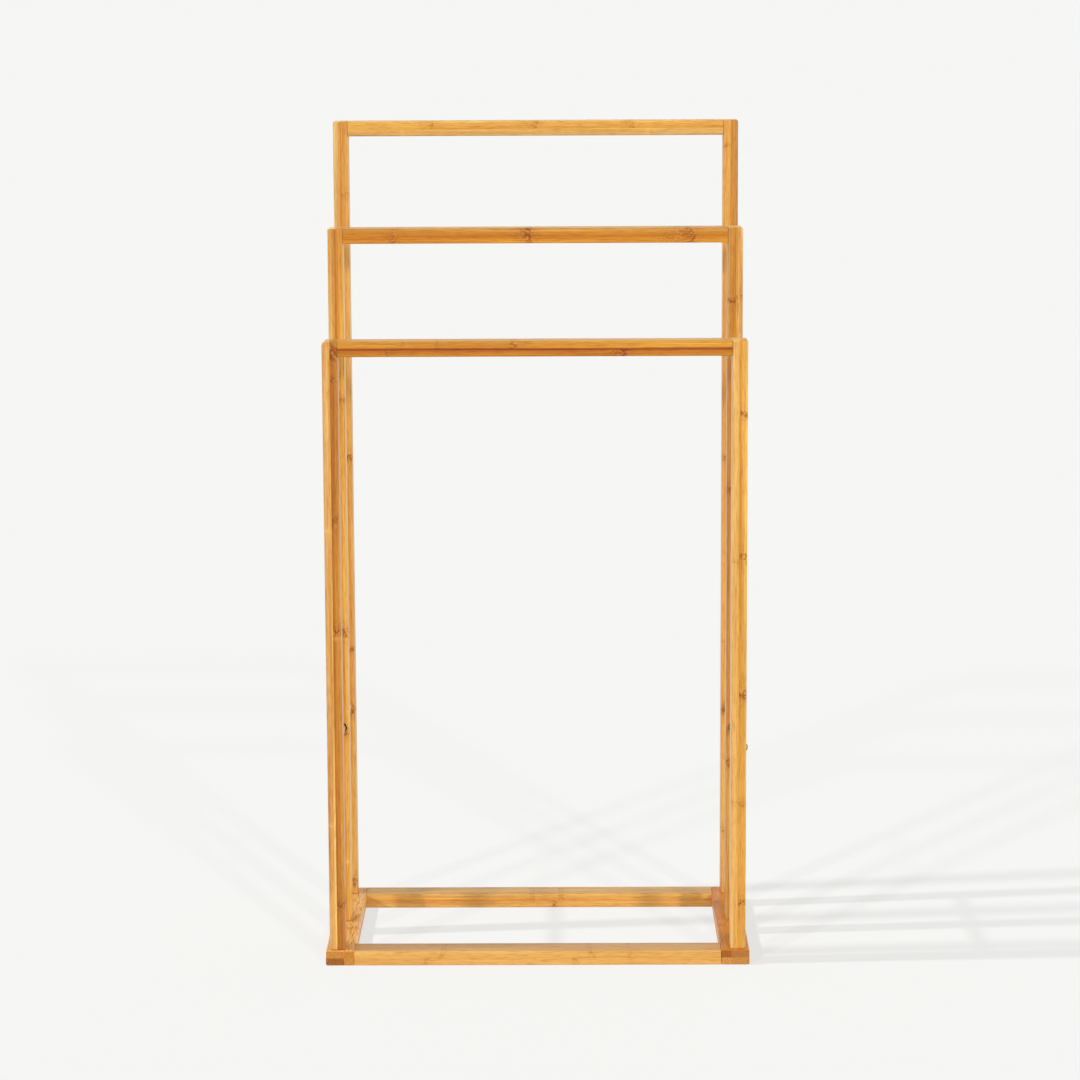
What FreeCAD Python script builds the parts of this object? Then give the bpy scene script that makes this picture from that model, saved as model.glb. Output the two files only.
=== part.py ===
import FreeCAD, Part
import os
import Sketcher
from FreeCAD import Placement, Rotation, Vector

# Free-standing towel rack of laminated bamboo. A flat base frame carries three
# upside-down U frames, each a step taller than the one in front of it, and a thin
# round brace on each side ties the three posts of that side together.
#
# Frame of the model: the origin is the middle of the base's footprint on the floor,
# +X is to the right, +Y to the back and +Z up. Lengths are in millimetres.

# Every size that can be set by itself: word in the sheet, millimetres, meaning.
DRIVING_SIZES = [
    ("base_width", 416, "base, left to right"),
    ("base_depth", 245, "base, front to back"),
    ("front_height", 615, "floor to the top of the front bar"),
    ("middle_height", 715, "floor to the top of the middle bar"),
    ("rear_height", 815, "floor to the top of the rear bar"),
    ("rail_width", 28, "base rails, seen from above"),
    ("rail_height", 15, "base rails, floor to top"),
    ("post_thickness", 15, "posts, left to right"),
    ("post_depth", 25, "posts, front to back"),
    ("bar_height", 15, "towel bars, bottom to top"),
    ("frame_inset", 4, "side of the base to the outer face of the posts"),
    ("frame_setback", 3, "front and back of the base to the nearest posts"),
    ("arris_radius", 1.5, "rounding along the edges of all wood"),
    ("corner_radius", 2.5, "rounding of the top outer corner of the posts"),
    ("rod_height", 215, "floor to the middle of the braces"),
    ("rod_diameter", 8, "braces"),
    ("rod_embed", 18, "length of brace inside the front and rear posts"),
    ("rod_clearance", 1, "gap round the brace where it passes a middle post"),
    ("rod_chamfer", 0.5, "bevel on the ends of the braces"),
    ("dowel_diameter", 6, "all wooden dowels"),
    ("dowel_chamfer", 0.8, "bevel on the ends of the dowels"),
    ("foot_dowel_down", 10, "length of a foot dowel inside the base rail"),
    ("foot_dowel_up", 14, "length of a foot dowel inside the post"),
    ("rail_dowel_reach", 14, "length of a base dowel inside the cross rail"),
    ("bar_dowel_reach", 14, "length of a bar dowel inside the bar"),
    ("bar_dowel_cover", 6, "wood left between a bar dowel and the outer face"),
    ("dowel_screw_gap", 0.5, "gap between a base dowel and a foot screw's head"),
    ("foot_screw_diameter", 4, "shank of the foot screws"),
    ("foot_screw_length", 40, "foot screws, head to tip"),
    ("foot_head_diameter", 8, "countersunk head of the foot screws"),
    ("foot_head_height", 2.5, "cone of the countersunk head"),
    ("foot_head_sink", 0.5, "the head lies this deep under the base"),
    ("brace_screw_diameter", 3, "shank of the brace screws"),
    ("brace_screw_length", 10, "brace screws under the head"),
    ("brace_head_diameter", 7, "domed head of the brace screws"),
    ("brace_head_height", 2, "domed head of the brace screws"),
    ("brace_head_clearance", 0.2, "gap round the sunk head on the left"),
    ("screw_tip", 3, "pointed end of every screw"),
    ("recess_width", 1.1, "arm of the cross recess in a screw head"),
    ("recess_share", 0.6, "recess across the head, as a share of the head"),
    ("recess_depth", 1.2, "cross recess in a screw head"),
    ("hole_end_gap", 0.5, "room left beyond the end of a screw"),
]

# Places that several pieces share, as expressions on the sheet.
SIDES = {"left": -1, "right": 1}
FRONT_Y = "(Sizes.frame_setback + Sizes.post_depth / 2 - Sizes.base_depth / 2)"
REAR_Y = "(Sizes.base_depth / 2 - Sizes.frame_setback - Sizes.post_depth / 2)"
FRAME_Y = {"front": FRONT_Y, "middle": "(0 * Sizes.base_depth)", "rear": REAR_Y}
FRAME_TOP = {name: f"Sizes.{name}_height" for name in FRAME_Y}
CROSS_RAIL_Y = {
    "front": "(Sizes.rail_width / 2 - Sizes.base_depth / 2)",
    "rear": "(Sizes.base_depth / 2 - Sizes.rail_width / 2)",
}
POST_OUTER_X = "(Sizes.base_width / 2 - Sizes.frame_inset)"
POST_X = f"({POST_OUTER_X} - Sizes.post_thickness / 2)"
POST_INNER_X = f"({POST_OUTER_X} - Sizes.post_thickness)"
RAIL_INNER_X = "(Sizes.base_width / 2 - Sizes.rail_width)"
FOOT_SPREAD = "Sizes.post_depth / 4"
BAR_SPREAD = "Sizes.post_depth / 4"
RAIL_SPREAD = "Sizes.rail_width / 4"
MID_RAIL_Z = "Sizes.rail_height / 2"
DOWEL_RADIUS = "Sizes.dowel_diameter / 2"

# How deep a base dowel may go into a side rail before it meets a foot screw.
RAIL_DOWEL_SIDE = (
    f"({POST_X} - Sizes.foot_head_diameter / 2 - Sizes.dowel_screw_gap - {RAIL_INNER_X})"
)
BAR_DOWEL_SIDE = "(Sizes.post_thickness - Sizes.bar_dowel_cover)"

# A length that runs along +Z by default is turned to run along one of these.
TURN_TO = {
    "+X": Rotation(Vector(0, 1, 0), 90),
    "-X": Rotation(Vector(0, 1, 0), -90),
    "+Y": Rotation(Vector(1, 0, 0), -90),
    "-Y": Rotation(Vector(1, 0, 0), 90),
    "+Z": Rotation(),
    "-Z": Rotation(Vector(1, 0, 0), 180),
}
SECTION_PLANE = {"X": "YZ_Plane", "Y": "XZ_Plane", "Z": "XY_Plane"}
ALONG = {"X": Vector(1, 0, 0), "Y": Vector(0, 1, 0), "Z": Vector(0, 0, 1)}
ROUGH_HALF = 5.0
LENGTH_TOLERANCE = 1e-6
SMALLEST_CUT = 0.01


def outwards(side, expression):
    """Signed X of a place that both sides of the rack have."""
    return f"{SIDES[side]} * {expression}"


def make_sheet(doc):
    """Spreadsheet with one named cell for each driving size."""
    sheet = doc.addObject("Spreadsheet::Sheet", "Sizes")
    for row, (word, size, meaning) in enumerate(DRIVING_SIZES, start=1):
        sheet.set(f"A{row}", word)
        sheet.set(f"B{row}", str(size))
        sheet.set(f"C{row}", meaning)
        sheet.setAlias(f"B{row}", word)
    doc.recompute()
    return sheet


def bind(feature, sizes):
    """Bind each named property of a feature to an expression on the sheet."""
    for name, expression in sizes.items():
        feature.setExpression(name, expression)


class Piece:
    """A PartDesign body whose features are placed in the rack's own frame."""

    def __init__(self, doc, label, centre=("0", "0", "0")):
        self.doc = doc
        self.centre = centre
        self.body = doc.addObject("PartDesign::Body", label)
        self.body.Label = label
        self.count = 0
        for axis, expression in zip("xyz", centre):
            self.body.setExpression(f"Placement.Base.{axis}", expression)

    def next_name(self, kind):
        """Name for the next feature of this body."""
        self.count += 1
        return f"{self.body.Name}_{kind}_{self.count}"

    def feature(self, kind, place, turn="+Z", spin=0, **sizes):
        """Add a PartDesign primitive at a place given in the rack's frame."""
        feature = self.body.newObject(f"PartDesign::{kind}", self.next_name(kind.lower()))
        rotation = TURN_TO[turn].multiply(Rotation(Vector(0, 0, 1), spin))
        feature.Placement = Placement(Vector(), rotation)
        for axis, at, middle in zip("xyz", place, self.centre):
            feature.setExpression(f"Placement.Base.{axis}", f"({at}) - ({middle})")
        bind(feature, sizes)
        self.doc.recompute()
        return feature

    def bore(self, place, turn, radius, depth):
        """Round hole that starts at a place and runs into the piece."""
        return self.feature("SubtractiveCylinder", place, turn, Radius=radius, Height=depth)

    def stick(self, run, across, deep, length):
        """Planed stick: a rectangle drawn on a plane of the body and padded both ways."""
        sketch = self.body.newObject("Sketcher::SketchObject", self.next_name("section"))
        planes = self.body.Origin.OriginFeatures
        plane = next(item for item in planes if item.Role == SECTION_PLANE[run])
        sketch.AttachmentSupport = [(plane, "")]
        sketch.MapMode = "FlatFace"
        corners = [Vector(x * ROUGH_HALF, y * ROUGH_HALF, 0) for x, y in ((-1, -1), (1, -1), (1, 1), (-1, 1))]
        for index, corner in enumerate(corners):
            sketch.addGeometry(Part.LineSegment(corner, corners[(index + 1) % 4]), False)
        for index in range(4):
            sketch.addConstraint(Sketcher.Constraint("Coincident", index, 2, (index + 1) % 4, 1))
            level = "Vertical" if index % 2 else "Horizontal"
            sketch.addConstraint(Sketcher.Constraint(level, index))
        sketch.addConstraint(Sketcher.Constraint("Symmetric", 0, 1, 1, 2, -1, 1))
        width = sketch.addConstraint(Sketcher.Constraint("DistanceX", 0, 1, 0, 2, 2 * ROUGH_HALF))
        height = sketch.addConstraint(Sketcher.Constraint("DistanceY", 1, 1, 1, 2, 2 * ROUGH_HALF))
        sketch.renameConstraint(width, "across")
        sketch.renameConstraint(height, "deep")
        bind(sketch, {"Constraints.across": across, "Constraints.deep": deep})
        pad = self.body.newObject("PartDesign::Pad", self.next_name("pad"))
        pad.Profile = sketch
        pad.Midplane = True
        bind(pad, {"Length": length})
        self.doc.recompute()

    def dress(self, kind, wanted, **sizes):
        """Fillet or chamfer every edge of the piece so far that the test wants."""
        base = self.body.Tip
        names = [f"Edge{number}" for number, edge in enumerate(base.Shape.Edges, start=1) if wanted(edge)]
        feature = self.body.newObject(f"PartDesign::{kind}", self.next_name(kind.lower()))
        feature.Base = (base, names)
        bind(feature, sizes)
        self.doc.recompute()


def runs_along(edge, axis):
    """True for a straight edge parallel to an axis."""
    if len(edge.Vertexes) != 2:
        return False
    reach = edge.Vertexes[1].Point - edge.Vertexes[0].Point
    return abs(abs(reach.dot(ALONG[axis])) - edge.Length) < LENGTH_TOLERANCE


def side_rail(doc, side):
    """Base rail that runs front to back and carries three posts."""
    centre = (outwards(side, "(Sizes.base_width / 2 - Sizes.rail_width / 2)"), "0", MID_RAIL_Z)
    rail = Piece(doc, f"base_side_rail_{side}", centre)
    rail.stick("Y", "Sizes.rail_width", "Sizes.rail_height", "Sizes.base_depth")
    rail.dress("Fillet", lambda edge: True, Radius="Sizes.arris_radius")
    post_x = outwards(side, POST_X)
    for middle in FRAME_Y.values():
        screw_y = f"{middle} - {FOOT_SPREAD}"
        dowel_y = f"{middle} + {FOOT_SPREAD}"
        rail.bore((post_x, screw_y, "0"), "+Z", "Sizes.foot_screw_diameter / 2", "Sizes.rail_height")
        rail.bore((post_x, screw_y, "0"), "+Z", "Sizes.foot_head_diameter / 2", "Sizes.foot_head_sink")
        rail.feature(
            "SubtractiveCone",
            (post_x, screw_y, "Sizes.foot_head_sink"),
            Radius1="Sizes.foot_head_diameter / 2",
            Radius2="Sizes.foot_screw_diameter / 2",
            Height="Sizes.foot_head_height",
        )
        rail.bore((post_x, dowel_y, "Sizes.rail_height"), "-Z", DOWEL_RADIUS, "Sizes.foot_dowel_down")
    outward = "+X" if side == "right" else "-X"
    for middle in CROSS_RAIL_Y.values():
        for sign in (-1, 1):
            place = (outwards(side, RAIL_INNER_X), f"{middle} + {sign} * {RAIL_SPREAD}", MID_RAIL_Z)
            rail.bore(place, outward, DOWEL_RADIUS, RAIL_DOWEL_SIDE)
    return rail.body


def cross_rail(doc, where):
    """Base rail between the side rails, at the front or the rear."""
    middle = CROSS_RAIL_Y[where]
    rail = Piece(doc, f"base_{where}_rail", ("0", middle, MID_RAIL_Z))
    rail.stick("X", "Sizes.rail_width", "Sizes.rail_height", f"2 * {RAIL_INNER_X}")
    rail.dress("Fillet", lambda edge: runs_along(edge, "X"), Radius="Sizes.arris_radius")
    for side, inward in (("left", "+X"), ("right", "-X")):
        for sign in (-1, 1):
            place = (outwards(side, RAIL_INNER_X), f"{middle} + {sign} * {RAIL_SPREAD}", MID_RAIL_Z)
            rail.bore(place, inward, DOWEL_RADIUS, "Sizes.rail_dowel_reach")
    return rail.body


def post(doc, frame, side):
    """Upright of one frame, from the top of the base rail to the top of its bar."""
    middle = FRAME_Y[frame]
    top = FRAME_TOP[frame]
    post_x = outwards(side, POST_X)
    piece = Piece(doc, f"{frame}_upright_{side}", (post_x, middle, f"({top} + Sizes.rail_height) / 2"))
    piece.stick("Z", "Sizes.post_thickness", "Sizes.post_depth", f"{top} - Sizes.rail_height")
    box = piece.body.Tip.Shape.BoundBox
    outer_x = box.XMax if side == "right" else box.XMin

    def top_outer_corner(edge):
        """True for the top edge on the outer side."""
        centre = edge.CenterOfMass
        on_top = abs(centre.z - box.ZMax) < LENGTH_TOLERANCE
        return on_top and abs(centre.x - outer_x) < LENGTH_TOLERANCE

    def front_or_back_arris(edge):
        """True for the edges of the front and back faces, without the foot."""
        ends = [abs(abs(vertex.Y) - box.YMax) < LENGTH_TOLERANCE for vertex in edge.Vertexes]
        at_foot = abs(edge.CenterOfMass.z - box.ZMin) < LENGTH_TOLERANCE
        return all(ends) and not runs_along(edge, "Y") and not at_foot

    piece.dress("Fillet", top_outer_corner, Radius="Sizes.corner_radius")
    piece.dress("Fillet", front_or_back_arris, Radius="Sizes.arris_radius")

    # Foot: pilot hole for the screw and, behind it, a hole for the dowel.
    foot = "Sizes.rail_height"
    screw_reach = "Sizes.foot_head_sink + Sizes.foot_screw_length + Sizes.hole_end_gap - Sizes.rail_height"
    piece.bore((post_x, f"{middle} - {FOOT_SPREAD}", foot), "+Z", "Sizes.foot_screw_diameter / 2", screw_reach)
    piece.bore((post_x, f"{middle} + {FOOT_SPREAD}", foot), "+Z", DOWEL_RADIUS, "Sizes.foot_dowel_up")

    # Head: two blind holes for the dowels of the bar.
    outward = "+X" if side == "right" else "-X"
    inward = "-X" if side == "right" else "+X"
    for sign in (-1, 1):
        dowel_y = f"{middle} + {sign} * {BAR_SPREAD}"
        place = (outwards(side, POST_INNER_X), dowel_y, f"{top} - Sizes.bar_height / 2")
        piece.bore(place, outward, DOWEL_RADIUS, BAR_DOWEL_SIDE)

    # Brace: a blind hole in the front and rear posts, a clear way through the middle one.
    back_face = f"{middle} + Sizes.post_depth / 2"
    front_face = f"{middle} - Sizes.post_depth / 2"
    rod_radius = "Sizes.rod_diameter / 2"
    if frame == "front":
        piece.bore((post_x, back_face, "Sizes.rod_height"), "-Y", rod_radius, "Sizes.rod_embed")
        drill_for_brace_screw(piece, side, middle, inward)
    elif frame == "middle":
        clear_radius = f"{rod_radius} + Sizes.rod_clearance"
        piece.bore((post_x, front_face, "Sizes.rod_height"), "+Y", clear_radius, "Sizes.post_depth")
    else:
        piece.bore((post_x, front_face, "Sizes.rod_height"), "+Y", rod_radius, "Sizes.rod_embed")
    return piece.body


def brace_seat(side):
    """Depth of a brace screw's seat under the post's outer face: sunk on the left only."""
    return "(Sizes.brace_head_height + Sizes.brace_head_clearance)" if side == "left" else "0"


def drill_for_brace_screw(piece, side, middle, inward):
    """Pilot hole, and on the left a counterbore, in the outer face of a front post."""
    outer = (outwards(side, POST_OUTER_X), middle, "Sizes.rod_height")
    reach = f"{brace_seat(side)} + Sizes.brace_screw_length + Sizes.hole_end_gap"
    piece.bore(outer, inward, "Sizes.brace_screw_diameter / 2", reach)
    if side == "left":
        head_radius = "Sizes.brace_head_diameter / 2 + Sizes.brace_head_clearance"
        piece.bore(outer, inward, head_radius, brace_seat(side))


def towel_bar(doc, frame):
    """Bar between the two posts of a frame, flush with their tops."""
    level = f"{FRAME_TOP[frame]} - Sizes.bar_height / 2"
    middle = FRAME_Y[frame]
    bar = Piece(doc, f"{frame}_bar", ("0", middle, level))
    bar.stick("X", "Sizes.post_depth", "Sizes.bar_height", f"2 * {POST_INNER_X}")
    bar.dress("Fillet", lambda edge: runs_along(edge, "X"), Radius="Sizes.arris_radius")
    for side, inward in (("left", "+X"), ("right", "-X")):
        for sign in (-1, 1):
            place = (outwards(side, POST_INNER_X), f"{middle} + {sign} * {BAR_SPREAD}", level)
            bar.bore(place, inward, DOWEL_RADIUS, "Sizes.bar_dowel_reach")
    return bar.body


def brace_rod(doc, side):
    """Round rod from the front post to the rear post, cross-drilled for its screw."""
    post_x = outwards(side, POST_X)
    start = f"{FRONT_Y} + Sizes.post_depth / 2 - Sizes.rod_embed"
    length = f"{REAR_Y} - {FRONT_Y} - Sizes.post_depth + 2 * Sizes.rod_embed"
    rod = Piece(doc, f"brace_rod_{side}")
    rod.feature(
        "AdditiveCylinder",
        (post_x, start, "Sizes.rod_height"),
        "+Y",
        Radius="Sizes.rod_diameter / 2",
        Height=length,
    )
    rod.dress("Chamfer", lambda edge: len(edge.Vertexes) == 1, Size="Sizes.rod_chamfer")
    inward = "-X" if side == "right" else "+X"
    outer = (outwards(side, POST_OUTER_X), FRONT_Y, "Sizes.rod_height")
    reach = f"{brace_seat(side)} + Sizes.brace_screw_length + Sizes.hole_end_gap"
    rod.bore(outer, inward, "Sizes.brace_screw_diameter / 2", reach)
    return rod.body


def dowel(doc, label, start, turn, length):
    """Wooden dowel with bevelled ends."""
    piece = Piece(doc, label)
    piece.feature("AdditiveCylinder", start, turn, Radius=DOWEL_RADIUS, Height=length)
    piece.dress("Chamfer", lambda edge: len(edge.Vertexes) == 1, Size="Sizes.dowel_chamfer")
    return piece.body


def cut_recess(screw, place, turn, head_diameter):
    """Cross recess in a screw head: two slots at right angles, cut from the outside."""
    for spin in (0, 90):
        slot = screw.feature(
            "SubtractiveBox",
            place,
            turn,
            spin,
            Length=f"{head_diameter} * Sizes.recess_share",
            Width="Sizes.recess_width",
            Height="Sizes.recess_depth",
        )
        # A box grows from its corner, so its middle is brought onto the screw's axis.
        rotation = slot.Placement.Rotation
        along = rotation.multVec(Vector(1, 0, 0))
        beside = rotation.multVec(Vector(0, 1, 0))
        for axis, at, one, two in zip("xyz", place, along, beside):
            shift = f"{round(one)} * {head_diameter} * Sizes.recess_share / 2 + {round(two)} * Sizes.recess_width / 2"
            slot.setExpression(f"Placement.Base.{axis}", f"({at}) - ({shift})")
    screw.doc.recompute()


def screw_shank(screw, head, turn, sign_axis, radius, length):
    """Plain shank with a pointed end, from the underside of a head."""
    sign, axis = sign_axis
    screw.feature("AdditiveCylinder", head, turn, Radius=radius, Height=f"{length} - Sizes.screw_tip")
    point = list(head)
    point["xyz".index(axis)] = f"{point['xyz'.index(axis)]} + {sign} * ({length} - Sizes.screw_tip)"
    screw.feature(
        "AdditiveCone", tuple(point), turn, Radius1=radius, Radius2="0", Height="Sizes.screw_tip"
    )


def foot_screw(doc, label, x, y):
    """Countersunk screw that comes up through a base rail into a post."""
    screw = Piece(doc, label)
    head = (x, y, "Sizes.foot_head_sink")
    radius = "Sizes.foot_screw_diameter / 2"
    screw.feature(
        "AdditiveCone",
        head,
        Radius1="Sizes.foot_head_diameter / 2",
        Radius2=radius,
        Height="Sizes.foot_head_height",
    )
    screw_shank(screw, head, "+Z", (1, "z"), radius, "Sizes.foot_screw_length")
    cut_recess(screw, head, "+Z", "Sizes.foot_head_diameter")
    return screw.body


def brace_screw(doc, side):
    """Round-head screw through the outer face of a front post into the brace."""
    sign = SIDES[side]
    inward = "-X" if side == "right" else "+X"
    outward = "+X" if side == "right" else "-X"
    screw = Piece(doc, f"brace_screw_{side}")
    seat = (outwards(side, f"({POST_OUTER_X} - {brace_seat(side)})"), FRONT_Y, "Sizes.rod_height")
    dome = screw.feature(
        "AdditiveEllipsoid",
        seat,
        outward,
        Radius1="Sizes.brace_head_height",
        Radius2="Sizes.brace_head_diameter / 2",
        Radius3="Sizes.brace_head_diameter / 2",
    )
    dome.Angle1 = 0
    dome.Angle2 = 90
    screw_shank(screw, seat, inward, (-sign, "x"), "Sizes.brace_screw_diameter / 2", "Sizes.brace_screw_length")
    crown = (f"{seat[0]} + {sign} * Sizes.brace_head_height", seat[1], seat[2])
    cut_recess(screw, crown, inward, "Sizes.brace_head_diameter")
    return screw.body


def group(doc, label, bodies):
    """One node that holds several loose, identical pieces."""
    compound = doc.addObject("Part::Compound", label)
    compound.Label = label
    compound.Links = bodies
    return compound


def foot_fasteners(doc, side):
    """Screws and dowels that hold the three posts of a side to their base rail."""
    post_x = outwards(side, POST_X)
    screws = []
    dowels = []
    for frame, middle in FRAME_Y.items():
        screws.append(foot_screw(doc, f"foot_screw_{side}_{frame}", post_x, f"{middle} - {FOOT_SPREAD}"))
        start = (post_x, f"{middle} + {FOOT_SPREAD}", "Sizes.rail_height - Sizes.foot_dowel_down")
        length = "Sizes.foot_dowel_down + Sizes.foot_dowel_up"
        dowels.append(dowel(doc, f"foot_dowel_{side}_{frame}", start, "+Z", length))
    return [group(doc, f"foot_screws_{side}", screws), group(doc, f"foot_dowels_{side}", dowels)]


def joint_dowels(doc, label, joint_x, middle, spread, level, in_run, in_side):
    """Four dowels, two at each end of a bar or rail, half hidden in the pieces beside it."""
    dowels = []
    for side, outward in (("left", "-X"), ("right", "+X")):
        for sign in (-1, 1):
            start = (outwards(side, f"({joint_x} - {in_run})"), f"{middle} + {sign} * {spread}", level)
            name = f"{label}_{side}_{'front' if sign < 0 else 'back'}"
            dowels.append(dowel(doc, name, start, outward, f"{in_run} + {in_side}"))
    return group(doc, label, dowels)


def build(doc):
    """Every node of the rack, in the order in which it is put together."""
    nodes = [side_rail(doc, side) for side in SIDES]
    nodes += [cross_rail(doc, where) for where in CROSS_RAIL_Y]
    nodes += [post(doc, frame, side) for frame in FRAME_Y for side in SIDES]
    nodes += [towel_bar(doc, frame) for frame in FRAME_Y]
    nodes += [brace_rod(doc, side) for side in SIDES]
    nodes += [brace_screw(doc, side) for side in SIDES]
    for side in SIDES:
        nodes += foot_fasteners(doc, side)
    for where, middle in CROSS_RAIL_Y.items():
        nodes.append(joint_dowels(
            doc, f"{where}_rail_dowels", RAIL_INNER_X, middle, RAIL_SPREAD, MID_RAIL_Z,
            "Sizes.rail_dowel_reach", RAIL_DOWEL_SIDE,
        ))
    for frame, middle in FRAME_Y.items():
        nodes.append(joint_dowels(
            doc, f"{frame}_bar_dowels", POST_INNER_X, middle, BAR_SPREAD,
            f"{FRAME_TOP[frame]} - Sizes.bar_height / 2", "Sizes.bar_dowel_reach", BAR_DOWEL_SIDE,
        ))
    doc.recompute()
    return nodes


def check(doc, nodes):
    """Stop if a feature failed, a hole cut nothing or a node is not a sound solid."""
    for item in doc.Objects:
        if "Invalid" in item.State or "Error" in item.State:
            raise RuntimeError(f"{item.Name} failed: {item.State}")
        if item.TypeId.startswith("PartDesign::Subtractive"):
            removed = item.BaseFeature.Shape.Volume - item.Shape.Volume
            if removed < SMALLEST_CUT:
                raise RuntimeError(f"{item.Name} cuts nothing")
    for node in nodes:
        if node.Shape.isNull() or not node.Shape.isValid() or not node.Shape.Solids:
            raise RuntimeError(f"{node.Label} is not a valid solid")


def main():
    """Build the rack, check it and write one STEP file for each node."""
    doc = FreeCAD.newDocument("TowelRack")
    make_sheet(doc)
    nodes = build(doc)
    check(doc, nodes)
    os.makedirs("parts", exist_ok=True)
    for node in nodes:
        node.Shape.exportStep(f"parts/{node.Label}.step")
        box = node.Shape.BoundBox
        size = f"{box.XLength:.1f} x {box.YLength:.1f} x {box.ZLength:.1f}"
        print(f"{node.Label}: {len(node.Shape.Solids)} solid(s), {size} mm")


main()
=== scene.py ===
"""Look of a free-standing towel rack of laminated bamboo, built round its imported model.

The rack is a flat base, three upside-down U frames that step up to the back, and a thin
round brace on each side. Lengths in names and tables are in millimetres, and every
Blender length is in metres.
"""

import logging
import math
from collections.abc import Callable
from dataclasses import dataclass, field, replace
from enum import Enum
from typing import NamedTuple

import bmesh
import bpy
from mathutils import Matrix, Vector


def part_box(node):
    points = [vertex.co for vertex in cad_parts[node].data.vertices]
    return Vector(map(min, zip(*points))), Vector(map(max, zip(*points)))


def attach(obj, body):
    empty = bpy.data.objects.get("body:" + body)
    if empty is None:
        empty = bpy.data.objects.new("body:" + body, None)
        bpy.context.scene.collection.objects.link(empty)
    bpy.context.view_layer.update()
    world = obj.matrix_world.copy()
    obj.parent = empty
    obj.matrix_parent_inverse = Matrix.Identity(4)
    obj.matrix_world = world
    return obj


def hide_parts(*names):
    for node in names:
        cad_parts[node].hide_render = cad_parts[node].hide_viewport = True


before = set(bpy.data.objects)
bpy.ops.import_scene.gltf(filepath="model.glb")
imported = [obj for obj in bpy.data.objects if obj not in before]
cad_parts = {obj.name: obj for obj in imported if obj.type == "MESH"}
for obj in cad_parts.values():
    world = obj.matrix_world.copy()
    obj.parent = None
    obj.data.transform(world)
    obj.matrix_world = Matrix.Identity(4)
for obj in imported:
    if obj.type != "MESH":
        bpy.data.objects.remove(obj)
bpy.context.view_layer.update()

MM = 0.001
TOUCH = 0.01 * MM  # an edge this near a plane lies in it
ROUND = 48  # faces round a rod or a drilled hole
BODY = "root"
LOG = logging.getLogger("towel_rack")

Piece = bpy.types.Object
Tree = bpy.types.NodeTree
Socket = bpy.types.NodeSocket
Sockets = bpy.types.NodeOutputs
EdgeTest = Callable[[Vector, Vector], bool]  # takes the two ends of an edge


class Axis(Enum):
    """Axes of the rack's frame: X to the right, Y to the back, Z up."""

    X = 0
    Y = 1
    Z = 2

    @property
    def way(self) -> Vector:
        """Unit vector along the axis."""
        return Vector([float(index == self.value) for index in range(3)])


class Side(Enum):
    """Left and right of the rack, with the sign of X there."""

    LEFT = -1
    RIGHT = 1

    @property
    def word(self) -> str:
        """Word that ends the node's name."""
        return self.name.lower()

    @property
    def outward(self) -> Vector:
        """Direction away from the middle of the rack."""
        return Vector((float(self.value), 0.0, 0.0))


# ---------------------------------------------------------------- shader helpers


def linear(shade: str) -> tuple[float, float, float, float]:
    """Turn an sRGB hex colour into the linear colour that shaders take.

    Args:
        shade: colour as "#RRGGBB".

    Returns:
        Linear red, green, blue and an alpha of 1.
    """
    parts = [int(shade[place : place + 2], 16) / 255 for place in (1, 3, 5)]
    bent = [part / 12.92 if part <= 0.04045 else ((part + 0.055) / 1.055) ** 2.4 for part in parts]
    return bent[0], bent[1], bent[2], 1.0


def add(tree: Tree, kind: str, links: dict | None = None, **settings: object) -> Sockets:
    """Add a shader node with its settings and links.

    Args:
        tree: node tree that gets the node.
        kind: Blender's name of the node type, after "ShaderNode".
        links: for each input, by name or number, a socket to link or a constant to set.
        settings: properties of the node itself.

    Returns:
        The new node's output sockets.
    """
    node = tree.nodes.new(f"ShaderNode{kind}")
    for name, value in settings.items():
        setattr(node, name, value)
    for place, value in (links or {}).items():
        if isinstance(value, Socket):
            tree.links.new(value, node.inputs[place])
        else:
            node.inputs[place].default_value = value
    return node.outputs


def empty_material(name: str) -> bpy.types.Material:
    """Make a material with an empty node tree.

    Args:
        name: name of the material.

    Returns:
        The material.
    """
    material = bpy.data.materials.new(name)
    material.use_nodes = True
    material.node_tree.nodes.clear()
    return material


# ---------------------------------------------------------------- finishes


@dataclass(frozen=True)
class Knot:
    """Node of the bamboo culm where it crosses a strip: a blotchy brown or pale band."""

    at: float  # along the stick, in the rack's frame, mm
    depth: float = 0.7  # 0 to 1 is browner than the strip, 0 to -1 is paler
    spread: float = 3.0  # half the height of the band, mm
    lean: float = 0.0  # rise along the stick for each mm across the layers
    tail: float = 0.0  # how far the strip stays darker beside the band, mm, and to which side


@dataclass(frozen=True)
class Strip:
    """One strip of a glued stick, with the shade at its two edges."""

    low: str  # shade at the side with the smaller coordinate across the layers
    high: str  # shade at the other side
    knots: tuple[Knot, ...] = ()
    across: tuple[float, float] = (0.0, 1.0)  # where it lies across the layers, as shares
    beside: float = 0.0  # where it starts along the third axis, as a share
    end: str = ""  # shade of its end grain, or the low shade where none is given


def two_layers(low: Strip, high: Strip) -> tuple[Strip, Strip]:
    """Give two strips the lower and the upper half of a stick.

    Args:
        low: strip at the smaller coordinate.
        high: strip at the larger coordinate.

    Returns:
        The same strips with their places.
    """
    return replace(low, across=(0.0, 0.5)), replace(high, across=(0.5, 1.0))


class Streaks(NamedTuple):
    """Noise drawn out along a stick: its size in millimetres and the part of it that shows."""

    width: float
    length: float
    octaves: float
    start: float
    stop: float


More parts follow.
